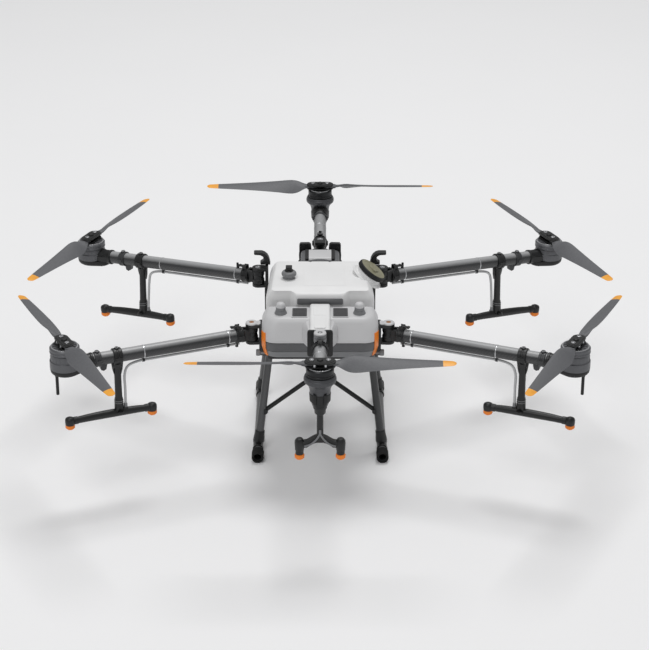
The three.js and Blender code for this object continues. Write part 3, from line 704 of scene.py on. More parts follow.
def boom_end(piece, caps, x, lean):
    """An elbow at the end of a spray bar, with its nozzle below."""
    at = shift(x, 0, -BOOM_DROP)
    piece.turned(
        [(0, -18), (14, -18), (17.5, -14), (18.5, -5), (18.5, 6), (16, 12), (9, 16), (0, 17)], 36, at
    )
    since = len(piece.bm.verts)
    piece.turned([(0, -9), (14.2, -9), (15, -7), (15, 6), (13.6, 8), (0, 8)], 36, ALONG_X)
    piece.moved(shift(x + lean * 22, 0, -BOOM_DROP - 1), since)
    nozzle_cap(caps, x, 0, -BOOM_DROP - 12.5)


def make_side_boom(arm):
    boom = Piece()
    caps = Piece()
    foot = arm.boom_foot
    clamp_collar(boom, 0, 17, COLLAR_R + 1.5)
    stem = [
        (-COLLAR_R + 2, 18), (-COLLAR_R - 6, 17), (-COLLAR_R - 16, 13.2), (-120, 13.4), (-172, 14),
        (-176, 16), (-206, 17.6), (-BOOM_DROP, 18)
    ]
    rings = []
    for z, r in stem:
        x = foot * (z + COLLAR_R) / (COLLAR_R - BOOM_DROP)
        rings.append([(x + r * math.cos(TAU * k / 40), r * math.sin(TAU * k / 40), z) for k in range(40)])
    boom.skin(rings)
    for side in (-1, 1):
        fin = [(16, 0), (23, 0), (19, -30), (13, -52)]
        boom.prism([(side * x, z - COLLAR_R + 4) for x, z in fin], -4, 4, "y")
    bar = [
        (8 - BOOM_INNER, 0), (30 - BOOM_INNER, -1), (-60, 1), (0, 2), (60, 2), (120, 1),
        (BOOM_OUTER - 30, -1), (BOOM_OUTER - 8, 0)
    ]
    since = len(boom.bm.verts)
    boom.tube(
        curve_through([(x, 0, z - BOOM_DROP) for x, z in bar], 5),
        lambda t: 12.6 + 3.2 * math.sin(math.pi * t) ** 2, 32
    )
    boom.prism(stadium(24, 11), -BOOM_DROP + 8, -BOOM_DROP + 16)
    for side in (-1, 1):
        socket_screw(boom, (0, side * 26, -BOOM_DROP + 16), 4, 3)
    boom.block((-33, -8, -BOOM_DROP + 2), (-17, 8, -BOOM_DROP + 21))
    boom_end(boom, caps, -BOOM_INNER, 1)
    boom_end(boom, caps, BOOM_OUTER, -1)
    boom.moved(shift(foot, 0, 0), since)
    caps.moved(shift(foot, 0, 0))
    at = arm.sloped @ shift(arm.stem_x, 0, 0)
    arm.add(boom, "spray_boom", BLACK, "moulded_frame", at, "boom")
    arm.add(caps, "nozzles", ORANGE, "moulded_frame", at, bevel=0.7)
    fittings = Piece()
    for z in (-186, -194):
        x = foot * (z + COLLAR_R) / (COLLAR_R - BOOM_DROP)
        fittings.turned([(11, z), (17.6, z), (17.6, z + 2.2), (11, z + 2.2)], 40, shift(x, 0, 0))
    fittings.rod(
        (-26 + foot, 0, -BOOM_DROP + 15), (-26 + foot * 0.9, 0, -BOOM_DROP + 36), 7.5, 6.5, 20, HOSE_R + 0.2
    )
    arm.add(fittings, "boom_fittings", GREY_MOULD, "hose_grey", at, bevel=0.5)


def make_end_boom(arm):
    boom = Piece()
    caps = Piece()
    top = -57.6
    boom.turned(
        [(0, top - 32), (17, top - 32), (20, top - 28), (21, top - 14), (25, top - 8), (25, top), (0, top)],
        40
    )
    boom.block((-30, -11, top - 26), (-12, 11, top - 6))
    boom.turned([(0, -200), (13, -200), (12, -176), (12, top - 30), (0, top - 30)], 32)
    crown = [(-64, -224), (-67, -210), (-61, -200), (-48, -198), (-26, -184), (-12, -177)]
    under = [(46, -222), (36, -214), (22, -206), (12, -203)]
    arch = crown + [(-y, z) for y, z in reversed(crown)] + under + [(-y, z) for y, z in reversed(under)]
    boom.prism(arch, -12, 12, "x")
    for side in (-1, 1):
        y = side * END_NOZZLE_Y
        boom.turned(
            [(0, -240), (14, -240), (16.5, -236), (17, -226), (18, -212), (17, -198), (11, -190), (0, -188)],
            32, shift(0, y, 0)
        )
        boom.rod((0, side * 50, -210), (0, y, -214), 12.6, 14, 24)
        boom.turned([(0, -253.5), (14, -253.5), (15, -250), (15, -239), (0, -239)], 32, shift(0, y, 0))
        nozzle_cap(caps, 0, y, -252.6)
    at = arm.sloped @ shift(arm.stem_x, 0, 0)
    arm.add(boom, "spray_boom", BLACK, "moulded_frame", at, "boom", bevel=1.2)
    arm.add(caps, "nozzles", ORANGE, "moulded_frame", at, bevel=0.7)
    pipes = Piece()
    for side in (-1, 1):
        path = curve_through(
            [(14, 0, -166), (15, side * 14, -188), (15, side * 34, -207), (13, side * 56, -216)], 6
        )
        pipes.tube(path, 3.4, 14)
    pipes.rod((14, 0, -150), (14, 0, -167), 4.2, 4.2, 20)
    arm.add(pipes, "boom_pipes", GREY_MOULD, "hose_grey", at, bevel=0.4)


def make_side_mount(arm):
    top = arm.motor_top
    can = Piece()
    step = top * 0.45
    can.turned(
        [
            (0, -10), (56, -10), (58, -8), (58, step - 2), (57, step), (54, step + 1), (54, top - 8),
            (52.5, top - 6), (52.5, top - 2), (50, top), (0, top)
        ],
        72
    )
    can.blocks_around(20, (53, -1.8, step + 3), (54.8, 1.8, top - 10))
    arm.add(can, "motor_can", MOTOR, "motor_black", arm.tip, "mount", bevel=0.8)
    hull = Piece()
    plan = [(y - 28, -x) for x, y in stadium(28, 33, 57.4, 14)]
    levels = [(0.62, -34), (0.72, -33.4), (0.84, -31), (0.93, -27), (0.98, -22), (1.0, -16), (1.0, -9)]
    hull.skin([[((x + 8) * k - 8, y * k, z) for x, y in plan] for k, z in levels])
    for k in range(3):
        hull.block((-58 + 9 * k, -16, -36), (-54 + 9 * k, 16, -32))
    if arm.kind == "front":
        hull.turned(
            [(0, -118), (4.5, -118), (6, -116), (6, -44), (9, -36), (9, -28), (0, -28)], 28, shift(35, 0, 0)
        )
    arm.add(hull, "motor_fairing", MATT_BLACK, "motor_black", arm.tip, bevel=0.6)
    socket = Piece()
    lean = Matrix.Rotation(arm.droop, 4, "Y")
    profile = [
        (BORE_R, -arm.neck), (COLLAR_R - 2, -arm.neck), (COLLAR_R, -arm.neck + 2), (COLLAR_R, -arm.neck + 10),
        (COLLAR_R - 2, -arm.neck + 12), (COLLAR_R - 2, -66), (COLLAR_R + 1, -60), (COLLAR_R + 1, -40),
        (BORE_R, -40)
    ]
    socket.turned(profile, 48, lean @ ALONG_X)
    since = len(socket.bm.verts)
    socket.prism([(-96, -27), (-74, -31), (-50, -33), (-50, 33), (-74, 31), (-96, 27)], -14, 8)
    for side in (-1, 1):
        for x in (-88, -70):
            socket_screw(socket, (x, side * 24, 8), 3.6, 3)
    socket.moved(lean, since)
    arm.add(socket, "motor_socket", BLACK, "motor_black", arm.tip)


def make_end_mount(arm):
    top = arm.motor_top
    pod = Piece()
    pod.turned(
        [
            (0, -57), (26, -57), (28, -55), (33, -40), (35, -30), (37, -8), (38.5, 12), (43, 26), (52, 36),
            (57, 41), (58, 44), (58, top - 9), (56, top - 7), (56, top - 4), (53, top), (0, top)
        ],
        72
    )
    pod.blocks_around(24, (57.2, -1.4, 44), (58.6, 1.4, top - 11))
    arm.add(pod, "motor_pod", POD_METAL, "motor_black", arm.tip, "mount", bevel=0.8)
    trim = Piece()
    trim.turned([(34, -36), (37.5, -35), (39, -6), (38, -4), (34, -4)], 64)
    trim.prism([(y - 4, x) for x, y in stadium(16, 20, 24, 10)], -52, -12)
    for side in (-1, 1):
        trim.prism([(10, -46), (34, -40), (39, -30), (39, 0), (30, 6), (10, 6)], side * 14, side * 24, "y")
    profile = [
        (BORE_R, -arm.neck), (28, -arm.neck), (30, -arm.neck + 3), (30, -arm.neck + 14), (33, -56), (37, -36),
        (BORE_R, -36)
    ]
    trim.turned(profile, 48, ALONG_X)
    for side in (-1, 1):
        socket_screw(trim, (-arm.neck + 9, side * 14, 26.5), 3.6, 3, (0, side * 0.5, 0.87))
    arm.add(trim, "pod_trim", MATT_BLACK, "motor_black", arm.tip)


def make_lock(arm):
    """Flip lever that locks the hinge: it lies along the arm, with a ribbed thumb pad at its end."""
    lever = Piece()
    side_view = [
        (-5, -3.4), (4, -4), (20, -3), (27, -4), (31, -1), (30, 3), (24, 4), (18, 2), (6, 4.4), (-2, 5.4),
        (-5.4, 3)
    ]
    lever.prism(side_view, -7, 7, "y")
    for k in range(3):
        lever.block((21 + 3 * k, -5.5, 3.2), (22.4 + 3 * k, 5.5, 5))
    lever.rod((0, -9.2, 0), (0, 9.2, 0), 4.4, 4.4, 20)
    at = arm.sloped @ shift(LOCK_X, 0, LOCK_Z)
    lever.done(
        "latch_" + arm.name, BLACK, "lock_" + arm.name, "latch_black", at, ["lock_" + arm.name], bevel=0.8
    )


# ---------------------------------------------------------------- rotors and blades
def make_rotor(arm):
    """The motor's turning bell, the plates that clamp the blades, and their bolts."""
    radius, height = BELL[arm.kind]
    top = -BLADE_ROOT_HALF - PLATE_GAP - PLATE_THICK
    low = top - height
    bell = Piece()
    bell.turned(
        [
            (0, low), (radius - 1.5, low), (radius, low + 1.5), (radius, low + 8), (radius - 1.4, low + 9.4),
            (radius - 1.4, low + 11), (radius, low + 12.4), (radius, top - 6), (radius - 5, top - 0.6),
            (radius - 13, top - 0.6), (radius - 14, top - 3.5), (20, top - 3.5), (19, top), (0, top)
        ],
        80
    )
    for k in range(12):
        since = len(bell.bm.verts)
        bell.prism([(18, -2), (radius - 13, -3), (radius - 13, 3), (18, 2)], top - 4, top - 0.8)
        bell.moved(Matrix.Rotation(TAU * k / 12, 4, "Z"), since)
    bell.blocks_around(36, (radius - 0.6, -1.1, low + 2.4), (radius + 0.5, 1.1, low + 7.2))
    arm.add(
        bell, "motor_bell", DARK_METAL if arm.kind == "end" else MOTOR, "hub_alloy", arm.hub, "rotor",
        body="rotor", bevel=0.6
    )
    inner = BLADE_ROOT_HALF + PLATE_GAP
    plates = Piece()
    plates.prism(stadium(BOLT_OFFSET, PLATE_R), top, -inner)
    plates.prism(stadium(BOLT_OFFSET, PLATE_R), inner, inner + PLATE_THICK)
    plates.prism(stadium(BOLT_OFFSET, PLATE_R - 7), inner + PLATE_THICK - 0.5, inner + PLATE_THICK + 1.6)
    plates.turned([(0, -inner - 1), (12.6, -inner - 1), (12.6, inner + 1), (0, inner + 1)], 32)
    plates.turned([(0, inner + 5), (12, inner + 5), (11, 14), (9.5, 17), (8, 18), (0, 18)], 32)
    arm.add(plates, "clamp_plates", MATT_BLACK, "hub_alloy", arm.hub, body="rotor")
    bright = Piece()
    bright.turned(
        [
            (radius - 9, top - 1.2), (radius - 5, top - 1.2), (radius - 5.4, top + 0.6),
            (radius - 8.6, top + 0.6)
        ],
        80
    )
    for side in (-1, 1):
        bright.rod(
            (0, side * BOLT_OFFSET, -inner - 1), (0, side * BOLT_OFFSET, inner + PLATE_THICK), 4.9, 4.9, 24
        )
        socket_screw(bright, (0, side * BOLT_OFFSET, inner + PLATE_THICK + 1.5), 8.5, 5)
        bright.turned([(0, -inner - 0.2), (5.5, -inner - 0.2), (5.5, inner + 0.2), (0, inner + 0.2)], 24,
                      shift(PLATE_R - 7, side * 19, 0))
    arm.add(bright, "hub_bolts", SILVER, "hub_alloy", arm.hub, body="rotor", bevel=0.4)


BLADE_STATIONS = [
    # radius, chord, thickness
    (44, 24, 9), (66, 42, 9.5), (100, 64, 9), (135, 73, 8.4), (180, 69, 7.6), (240, 62, 6.6), (370, 45, 4.8),
    (440, 35, 3.8), (466, 30, 3.2),
]
PITCH_SLOPE = 0.165
MAX_PITCH = 0.6
FLAT_RADIUS = 44
PIVOT_FRACTION = 0.45
TIP_ROUND = 14  # length over which the tip rounds off


def blade_pitch(radius):
    full = min(MAX_PITCH, math.atan(PITCH_SLOPE * PROP_RADIUS / radius))
    return full * smoothstep((radius - FLAT_RADIUS) / (1.4 * FLAT_RADIUS))


def blade_section(chord, thickness):
    """A cambered aerofoil, as (distance back from the leading edge, height)."""
    steps = 12
    backs = [0.5 * (1 - math.cos(math.pi * i / steps)) for i in range(steps + 1)]

    def half(x):
        shape = 0.2969 * math.sqrt(x) - 0.126 * x - 0.3516 * x * x + 0.2843 * x**3 - 0.1015 * x**4
        return 5 * thickness * shape + 0.25

    def camber(x):
        return 0.22 * thickness * 4 * x * (1 - x)

    upper = [(x * chord, camber(x) + half(x)) for x in backs]
    lower = [(x * chord, camber(x) - half(x)) for x in reversed(backs[1:-1])]
    return upper + lower


def make_blade(arm, letter):
    blade = Piece()
    rings = []
    stations = [tuple(p) for p in curve_through(BLADE_STATIONS, 6)]
    start, chord0, thick0 = stations[-1]
    span = PROP_RADIUS - start
    for k in range(1, 9):
        t = k / 8
        rounding = max(0.06, math.sqrt(max(0, 1 - (max(0, t * span - (span - TIP_ROUND)) / TIP_ROUND) ** 2)))
        stations.append(
            (start + span * t, (chord0 - 5 * t) * rounding, thick0 * (1 - 0.3 * t) * max(0.3, rounding))
        )
    for radius, chord, thickness in stations:
        pitch = blade_pitch(radius)
        ring = []
        for back, up in blade_section(chord, thickness):
            c = back - PIVOT_FRACTION * chord
            x = c * math.cos(pitch) + up * math.sin(pitch)
            z = up * math.cos(pitch) - c * math.sin(pitch)
            ring.append((arm.spin * x, radius, z))
        rings.append(ring)
    blade.skin(rings)
    half = BLADE_ROOT_HALF - 0.2
    root = [
        (-12, BOLT_OFFSET), (-13, 46), (-16, 58), (-12, 66), (12, 66), (16, 58), (13, 46), (12, BOLT_OFFSET)
    ]
    blade.prism(root, -half + 0.6, half - 0.6)
    blade.turned([(5.4, -half), (14, -half), (14, half), (5.4, half)], 40, shift(0, BOLT_OFFSET, 0))
    turn = Matrix.Rotation(0 if letter == "a" else math.pi, 4, "Z")
    node = f"blade_{letter}_{arm.name}"
    blade.done("propeller_" + node, BLADE, node, "blade_grey", arm.hub @ turn, [node], bevel=0)


for arm in ARMS:
    make_tube(arm)
    make_root(arm)
    make_collars(arm)
    make_hose(arm)
    make_lock(arm)
    make_rotor(arm)
    make_blade(arm, "a")
    make_blade(arm, "b")
    if arm.kind == "end":
        make_end_boom(arm)
        make_end_mount(arm)
    else:
        make_side_boom(arm)
        make_side_mount(arm)


# ---------------------------------------------------------------- tank, breather and filler cap
BODY = "body"
TANK_TOP = 735
PLATE_BOTTOM = 508
PLATE_TOP = 530
SHOULDER_FRONT = -38  # the shoulder that carries the filler neck starts here
CAP_SEAT = Vector((183, 28, 715))
CAP_AXIS = Vector((0.6, 0, 0.8))
CAP_FRAME = Matrix.Translation(CAP_SEAT) @ facing(CAP_AXIS)
NECK_HEIGHT = 22
BREATHER = (-121, -28)


def between(a, b, count):
    """Points from a towards b, without b."""
    return [(a[0] + (b[0] - a[0]) * i / count, a[1] + (b[1] - a[1]) * i / count) for i in range(count)]


def tank_front(z):
    """The tank's sloping front face: its y at one height."""
    return -180 + 0.34 * max(0, 723 - z)


def tank_outline(z, inset):
    """The tank in plan at one height: a lip at the nose, set-back front corners and a narrower rear."""
    front, rear, back = 210 - inset, 198 - inset, 163 - inset
    lip = min(tank_front(z) + 1.2 * inset, -150)
    shoulder = min(lip + 24, -140)
    r = 30 - inset * 0.6
    half = between((0, lip), (92, lip), 8) + between((92, lip), (114, shoulder), 4)
    half += between((114, shoulder), (front - r, shoulder), 8) + arc((front - r, shoulder + r), r, -90, 0, 9)
    half += between(
        (front, shoulder + r + 6), (rear, back - r - 6), 42
    ) + arc((rear - r, back - r), r, 0, 90, 9)
    half += between((rear - r - 8, back), (0, back), 16)
    return half + [(0, back)] + [(-x, y) for x, y in reversed(half[1:])]


def tank_surface(x, y, z):
    """Lowers a point to the sloping front of the plateau and to the filler's shoulder."""
    z = min(z, TANK_TOP - 12 * max(0, -112 - y) / 68)
    plane = CAP_SEAT.z - (x - CAP_SEAT.x) * CAP_AXIS.x / CAP_AXIS.z
    return z - smoothstep((y - SHOULDER_FRONT + 12) / 12) * max(0, z - plane)


def make_tank():
    tank = Piece()
    levels = [
        (531, 6), (532, 3), (536, 0), (560, 0), (600, 0), (640, 0), (670, 0), (690, 1), (702, 4), (712, 9),
        (720, 14), (726, 18), (730, 21), (733, 24), (734.6, 28), (735, 34)
    ]
    rings = [[(x, y, tank_surface(x, y, z)) for x, y in tank_outline(z, inset)] for z, inset in levels]
    last = tank_outline(*levels[-1])
    for scale in (0.965, 0.93, 0.895, 0.86, 0.82, 0.78, 0.73, 0.67, 0.58, 0.46, 0.32, 0.16):
        inner = [(x * scale, -8 + (y + 8) * scale) for x, y in last]
        rings.append([(x, y, tank_surface(x, y, TANK_TOP)) for x, y in inner])
    rings.append([(0, -8, TANK_TOP)])
    tank.skin(rings)
    tank.done("tank_shell", TANK, BODY, "tank_white", replaces=["tank"], bevel=0)
    trim = Piece()
    for strip in ((-63, -61, -100, 118), (96, 98, -100, 118), (-61, 96, -101, -99)):
        trim.prism(rounded(*strip, 0.9, 2), TANK_TOP - 1, TANK_TOP + 0.7)
    trim.turned(
        [
            (44, -4), (52, -4), (52, NECK_HEIGHT - 3), (50.5, NECK_HEIGHT), (46, NECK_HEIGHT),
            (44, NECK_HEIGHT - 2)
        ],
        80, CAP_FRAME
    )
    trim.turned([(50, -3), (66, -3), (66, 2), (63, 4), (55, 5), (52, 9), (50, 9)], 80, CAP_FRAME)
    trim.done("tank_trim", TANK, BODY, "tank_white", bevel=0.6)
    # painted shadow: a grey panel on the tank's front face stands for the shadow in the gap between tank and
    # hood
    inset = Piece()
    outline = rounded(-88, 88, 684, 713, 6)
    inset.skin([[(x, tank_front(z) + depth, z) for x, z in outline] for depth in (-1, 4)])
    inset.done("tank_front_painted_shadow", GREY_MOULD, BODY, "tank_white", bevel=0.6)
    # painted shade: a flat dark arc on the plateau's rear edge stands for the shade inside the grip recess
    grip = Piece()
    grip.prism(arc((0, 96), 62, 40, 140, 20) + arc((0, 96), 50, 140, 40, 20), TANK_TOP - 1, TANK_TOP + 0.8)
    grip.done("tank_grip_painted_shade", SHADE, BODY, "tank_white", bevel=0.4)
    bulb = Piece()
    at = shift(*BREATHER, 0)
    bulb.turned(
        [
            (0, 733), (24, 733), (24, 736), (21, 739), (21, 743), (26, 746), (28.4, 749), (28.4, 758),
            (26, 762), (19, 765.4), (0, 766)
        ],
        56, at
    )
    bulb.blocks_around(12, (26.4, -2, 749.6), (29, 2, 757.4), at)
    bulb.done("breather_body", GREY_MOULD, BODY, "tank_white", bevel=0.5)
    top = Piece()
    top.turned([(0, 765), (17, 765), (17, 769), (13, 771), (0, 771)], 40)
    top.prism(rounded(-11, 11, -11, 11, 3), 769, 778)
    top.prism(rounded(-12.5, 12.5, -12.5, 12.5, 3.5), 777, 784.5)
    top.moved(at)
    top.done("breather_valve", BLACK, BODY, "tank_white", bevel=0.9)


def make_cap():
    rim = Piece()
    t = NECK_HEIGHT
    rim.turned(
        [
            (53.5, t + 0.8), (57, t + 0.8), (59, t + 2.5), (59, t + 17), (56.5, t + 20.5), (50, t + 21),
            (46, t + 19), (46, t + 14), (53.5, t + 14)
        ],
        96
    )
    rim.turned([(0, t + 14), (47, t + 14), (47, t + 19.4), (0, t + 19.4)], 64)
    rim.blocks_around(36, (58.2, -1.7, t + 3.5), (60, 1.7, t + 16))
    rim.done("cap_rim", MATT_BLACK, "tank_cap", "cap_olive", CAP_FRAME, ["tank_cap"], bevel=0.6)
    disc = Piece()
    disc.turned(
        [
            (0, t + 17), (54, t + 17), (55, t + 19), (54, t + 21.6), (44, t + 22), (42.5, t + 20.8),
            (40.5, t + 20.8), (39, t + 22), (0, t + 22)
        ],
        96
    )
    disc.turned([(0, t + 21), (22, t + 21), (21, t + 26), (18, t + 27.5), (0, t + 27.5)], 56)
    disc.prism(rounded(-34, 34, -6.5, 6.5, 6), t + 21, t + 29.4)
    disc.done("cap_disc", OLIVE, "tank_cap", "cap_olive", CAP_FRAME, bevel=1.2)


# ---------------------------------------------------------------- hood and nose
HOOD_BACK = -181
ANTENNA = (150, -240)
HOOD_FRONT_AT = [
    (521, -296), (548, -306), (565, -316), (582, -325.5), (590, -329.5), (596, -330.6), (602, -329.8),
    (610, -326), (640, -310), (666, -295), (673, -290), (677, -285), (680, -278), (681.6, -270), (682, -262)
]
HOOD_HALF_AT = [
    (521, 214), (548, 220), (560, 222.6), (640, 222.6), (650, 220), (662, 214.6), (672, 209), (677, 204),
    (680, 198), (681.6, 190), (682, 182)
]


def along(table, z):
    """Straight-line interpolation in a table of (z, value)."""
    for (z0, v0), (z1, v1) in zip(table, table[1:]):
        if z <= z1:
            return v0 + (v1 - v0) * max(0, z - z0) / (z1 - z0)
    return table[-1][1]


def hood_outline(z, grow):
    radius = 56
    front, half = along(HOOD_FRONT_AT, z) - grow, along(HOOD_HALF_AT, z) + grow
    left = arc((-half + radius, front + radius), radius, 180, 270, 14)
    right = arc((half - radius, front + radius), radius, 270, 360, 14)
    return [(-half, HOOD_BACK)] + left + right + [(half, HOOD_BACK)]


def hood_band(name, levels, material, grow=0.0, replaces=()):
    band = Piece()
    band.skin([[(x, y, z) for x, y in hood_outline(z, grow)] for z in levels])
    return band.done(name, material, BODY, "shell_grey", replaces=replaces, bevel=0.6)


def make_hood():
    hood_band(
        "hood_shell", (597, 602, 610, 625, 640, 650, 662, 666, 672, 677, 680, 681.6, 682), SHELL,
        replaces=["hood"]
    )
    hood_band("hood_seam", (594, 597.5), MATT_BLACK, -1.6)
    hood_band("hood_under", (550, 560, 572, 582, 590, 594.6), SHADE, -0.4)
    hood_band("hood_lower", (521.5, 530, 540, 549), GREY_MOULD)
    vents = Piece()
    frames = Piece()
    for side in (-1, 1):
        frames.prism(rounded(side * 46, side * 110, -278, -194, 6), 680, 683.2)
        vents.prism(rounded(side * 50, side * 106, -274, -198, 4), 681, 684)
        for k in range(9):
            y = -268 + 8 * k
            vents.block((side * 54, y, 683), (side * 102, y + 3.4, 685))
    frames.done("vent_frames", SHELL, BODY, "shell_grey", bevel=0.8)
    vents.done("vent_grilles", VENT, BODY, "shell_grey", bevel=0.6)
    bodies = Piece()
    tips = Piece()
    for side in (-1, 1):
        at = shift(side * ANTENNA[0], ANTENNA[1], 0)
        bodies.turned(
            [(0, 680), (24, 680), (24, 684), (22.5, 686), (20.5, 692), (20, 694), (16, 695.5), (0, 695.5)],
            48, at
        )
        bodies.turned([(0, 694), (17.5, 694), (18.6, 697), (18.6, 707), (17, 708.5), (0, 708.5)], 48, at)
        tips.turned([(0, 708), (17.8, 708), (18, 711), (16.6, 719), (13, 724), (7, 725.8), (0, 726)], 48, at)
    bodies.done("antenna_bodies", GREY_MOULD, BODY, "shell_grey", bevel=0.7)
    tips.done("antenna_domes", SHELL, BODY, "shell_grey", bevel=0.4)
    strips = Piece()
    for side in (-1, 1):
        rings = []
        for z in (522, 535, 548, 560, 572, 582, 590, 596, 602, 610, 618, 626):
            outline = hood_outline(z, 0.4)
            edge = [(side * x, y) for x, y in outline[23:29]]
            lip = [(side * x, y) for x, y in hood_outline(z, 1.9)[23:29]]
            rings.append([(x, max(y, -332.5), z) for x, y in edge + lip[::-1]])
        strips.skin(rings)
    strips.done("corner_strips", ORANGE, BODY, "moulded_frame", bevel=0)
    knobs = Piece()
    for side in (-1, 1):
        turn = shift(side * 212, -250, 520) @ Matrix.Rotation(side * math.pi / 2, 4, "Y")
        knobs.turned([(0, 0), (8, 0), (8, 16), (12, 18), (13, 22), (13, 31), (11, 34), (0, 34)], 32, turn)
    knobs.done("hood_knobs", GREY_MOULD, BODY, "shell_grey", bevel=0.8)


def make_nose():
    beam = Piece()
    sections = [
        (-181, 39.5, 600, 694, 10), (-300, 39.5, 600, 694, 10), (-360, 38, 602, 692, 12),
        (-400, 39, 601, 692, 12), (-422, 42, 596, 694, 12)
    ]
    rings = []
    for y, half, low, high, r in sections:
        rings.append([(x, y, z) for x, z in rounded(-half, half, low, high, r, 8)])
    beam.skin(rings)
    beam.done("nose_beam_cover", TANK, BODY, "moulded_frame", replaces=["airframe"], bevel=0.8)
    flares = Piece()
    for side in (-1, 1):
        levels = [(600, 0.8), (625, 0.8), (650, 0.7), (664, 0.5), (672, 0.3)]
        rings = []
        for z, k in levels:
            plan = [(36, -392), (44, -378), (40 + 32 * k, -330), (40 + 44 * k, -296), (36, -280)]
            plan = [(side * x, y) for x, y in plan]
            rings.append([(x, y, z) for x, y in plan])
        flares.skin(rings)
    flares.done("nose_flares", SHELL, BODY, "shell_grey", bevel=1.5)
    ribs = Piece()
    ribs.prism(rounded(-22, 22, -400, -300, 6), 693, 695)
    ribs.prism(rounded(-26, 26, -286, -196, 6), 693, 695)
    ribs.done("nose_panels", TANK, BODY, "moulded_frame", bevel=0.7)
    bezel = Piece()
    outer = rounded(-48, 48, 590.5, 697.5, 10, 6)
    inner = rounded(-34, 34, 604, 684, 8, 6)
    bezel.skin([[(x, -422, z) for x, z in outer], [(x, -433.6, z) for x, z in outer],
                [(x, -433.6, z) for x, z in inner], [(x, -428, z) for x, z in inner]])
    for x in (-40.5, 40.5):
        for z in (600, 644, 688):
            socket_screw(bezel, (x, -432.6, z), 3.2, 1.2, (0, -1, 0))
    bezel.done("nose_bezel", BLACK, BODY, "moulded_frame")


# ---------------------------------------------------------------- airframe
INWARD = {"front": math.pi / 2, "rear": -math.pi / 2}  # from a hinge to the airframe; side ones face along x


def make_bracket(arm):
    """The hinge's two lugs, reaching back to the airframe, its pin, and a cap on the front ones."""
    name = arm.name
    reach = 37 if arm.kind == "end" else 32
    lugs = Piece()
    plan = arc((0, 0), KNUCKLE_R - 0.3, 90, 270, 20) + [(reach, -KNUCKLE_R + 3), (reach, KNUCKLE_R - 3)]
    for side in (-1, 1):
        lugs.prism(plan, side * (KNUCKLE_HALF + 0.6), side * (KNUCKLE_HALF + 12))
        rib = [(6, -5), (reach, -9), (reach, 9), (6, 5)]
        lugs.prism(rib, side * (KNUCKLE_HALF + 11), side * (KNUCKLE_HALF + 12.3))
    inward = INWARD.get(name, math.pi if arm.hinge.x > 0 else 0)
    at = Matrix.Translation(arm.hinge) @ Matrix.Rotation(inward, 4, "Z")
    lugs.done(
        "hinge_lugs_" + name, GREY_MOULD if name == "front" else BLACK, BODY, "moulded_frame", at, bevel=1.3
    )
    pin = Piece()
    h = KNUCKLE_HALF + 12
    pin.turned(
        [
            (0, -h - 0.2), (11, -h - 0.2), (11, -h + 2), (7.8, -h + 2.4), (7.8, h - 2.4), (11, h - 2),
            (11.6, h + 0.2), (0, h + 0.2)
        ],
        36
    )
    socket_screw(pin, (0, 0, h), 8, 2.6)
    pin.done("hinge_pin_" + name, SILVER, BODY, "moulded_frame", at, bevel=0.4)
    if name.startswith("front"):
        dome = Piece()
        dome.turned(
            [(9.4, h + 0.2), (23, h + 0.2), (23.6, h + 2), (22, h + 6), (16, h + 8), (9.4, h + 7)], 48
        )
        dome.prism([(8, -14), (30, -18), (34, -14), (34, 14), (30, 18), (8, 14)], h + 0.2, h + 5)
        dome.done("hinge_cap_" + name, SHELL, BODY, "moulded_frame", at)
        if name == "front":
            return
        dot = Piece()
        dot.turned([(0, h + 2), (9, h + 2), (9, h + 5.6), (7.5, h + 6.6), (5.5, h + 5), (0, h + 5)], 36)
        dot.done("hinge_dot_" + name, AMBER, BODY, "moulded_frame", at, bevel=0.4)


